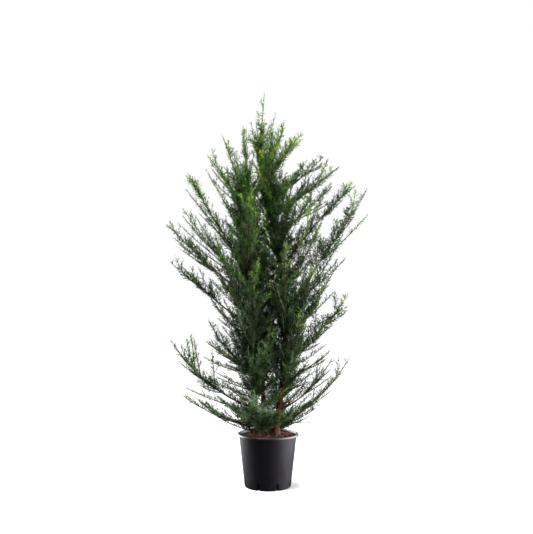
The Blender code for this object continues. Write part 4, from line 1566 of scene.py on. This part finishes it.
def pale_floor():
    """A floor that is white and glows to the camera, and is grey as a light on the plant."""
    bpy.ops.mesh.primitive_circle_add(vertices=96, radius=40.0, fill_type="NGON")
    floor = bpy.context.object
    floor.name = "floor"
    made, tree, shader = new_material("pale_floor", 0.9, 0.1)
    shader.inputs["Emission Color"].default_value = (1.0, 1.0, 1.0, 1.0)
    path = tree.nodes.new("ShaderNodeLightPath")
    paint = tree.nodes.new("ShaderNodeMix")
    paint.data_type = "RGBA"
    paint.inputs["A"].default_value = colour_of(FLOOR_AS_LIGHT)
    paint.inputs["B"].default_value = colour_of(FLOOR_TO_CAMERA)
    tree.links.new(path.outputs["Is Camera Ray"], paint.inputs["Factor"])
    tree.links.new(paint.outputs["Result"], shader.inputs["Base Color"])
    place = tree.nodes.new("ShaderNodeTexCoord")
    apart = tree.nodes.new("ShaderNodeVectorMath")
    apart.operation = "DISTANCE"
    apart.inputs[1].default_value = FLOOR_SHADE_PLACE
    tree.links.new(place.outputs["Object"], apart.inputs[0])
    ramp = tree.nodes.new("ShaderNodeMapRange")
    ramp.interpolation_type = "SMOOTHSTEP"
    ramp.inputs["From Min"].default_value = FLOOR_NEAR
    ramp.inputs["From Max"].default_value = FLOOR_FAR
    ramp.inputs["To Min"].default_value = FLOOR_GLOW_NEAR
    ramp.inputs["To Max"].default_value = FLOOR_GLOW_FAR
    tree.links.new(apart.outputs["Value"], ramp.inputs["Value"])
    glow = tree.nodes.new("ShaderNodeMath")
    glow.operation = "MULTIPLY"
    tree.links.new(ramp.outputs["Result"], glow.inputs[1])
    tree.links.new(path.outputs["Is Camera Ray"], glow.inputs[0])
    tree.links.new(glow.outputs["Value"], shader.inputs["Emission Strength"])
    floor.data.materials.append(made)
    return floor


class YEW_OT_stage(bpy.types.Operator):
    """Set up the white floor, the soft lights and the camera"""

    bl_idname = "yew.stage"
    bl_label = "Stage"

    def execute(self, context):
        look = context.scene.yew_stage
        white_room(look.room_light)
        pale_floor()
        soft_box("right_box", (1.45, -0.10, 0.85), (0, 0, 0.8), (2.6, 2.4), 1.20 * look.side_light)
        soft_box("left_box", (-1.45, 0.95, 0.9), (0, 0, 0.8), (2.1, 2.4), 1.15 * look.side_light)
        soft_box("low_right_box", (1.35, 0.20, 0.21), (0, 0, 0.1), (1.8, 0.4), 0.20 * look.side_light)
        soft_box("low_left_box", (-1.00, 1.00, 0.21), (0, 0, 0.1), (1.1, 0.4), 0.15 * look.side_light)
        soft_box("top_box", (-0.7, -0.6, 3.1), (0, 0, 0.9), (1.8, 1.8), look.top_light)
        lens = bpy.data.cameras.new("camera")
        lens.lens = look.lens
        lens.sensor_width = 36.0
        camera = bpy.data.objects.new("camera", lens)
        camera.location = (-0.005, -look.camera_distance, look.camera_height)
        camera.rotation_euler = (math.pi / 2 + look.camera_tilt, 0.0, 0.0)
        context.scene.collection.objects.link(camera)
        context.scene.camera = camera
        context.scene.view_settings.view_transform = "Standard"
        return {"FINISHED"}


class YEW_PT_panel(bpy.types.Panel):
    """The yew's pieces and their settings"""

    bl_idname = "YEW_PT_panel"
    bl_label = "Potted yew"
    bl_space_type = "VIEW_3D"
    bl_region_type = "UI"
    bl_category = "Yew"

    def draw(self, context):
        layout = self.layout
        for settings, operators in PANEL_ROWS:
            box = layout.box()
            look = getattr(context.scene, settings)
            for name in look.__annotations__:
                box.prop(look, name)
            for operator in operators:
                box.operator(operator)


PANEL_ROWS = (
    ("yew_pot", ("yew.pot", "yew.soil")),
    ("yew_wood", ("yew.stems", "yew.boughs")),
    ("yew_foliage", ("yew.foliage",)),
    ("yew_stage", ("yew.stage",)),
)
SETTINGS = {
    "yew_pot": YewPotLook,
    "yew_wood": YewWoodLook,
    "yew_foliage": YewFoliageLook,
    "yew_stage": YewStageLook,
}
OPERATORS = (
    YEW_OT_pot,
    YEW_OT_soil,
    YEW_OT_stems,
    YEW_OT_boughs,
    YEW_OT_foliage,
    YEW_OT_stage,
)


def register():
    for name, group in SETTINGS.items():
        bpy.utils.register_class(group)
        setattr(bpy.types.Scene, name, bpy.props.PointerProperty(type=group))
    for operator in OPERATORS:
        bpy.utils.register_class(operator)
    bpy.utils.register_class(YEW_PT_panel)


def unregister():
    bpy.utils.unregister_class(YEW_PT_panel)
    for operator in reversed(OPERATORS):
        bpy.utils.unregister_class(operator)
    for name, group in SETTINGS.items():
        delattr(bpy.types.Scene, name)
        bpy.utils.unregister_class(group)


def main():
    register()
    bpy.ops.yew.pot()
    bpy.ops.yew.soil()
    bpy.ops.yew.stems()
    bpy.ops.yew.boughs()
    bpy.ops.yew.foliage()
    bpy.ops.yew.stage()
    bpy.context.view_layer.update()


if __name__ == "__main__":
    main()
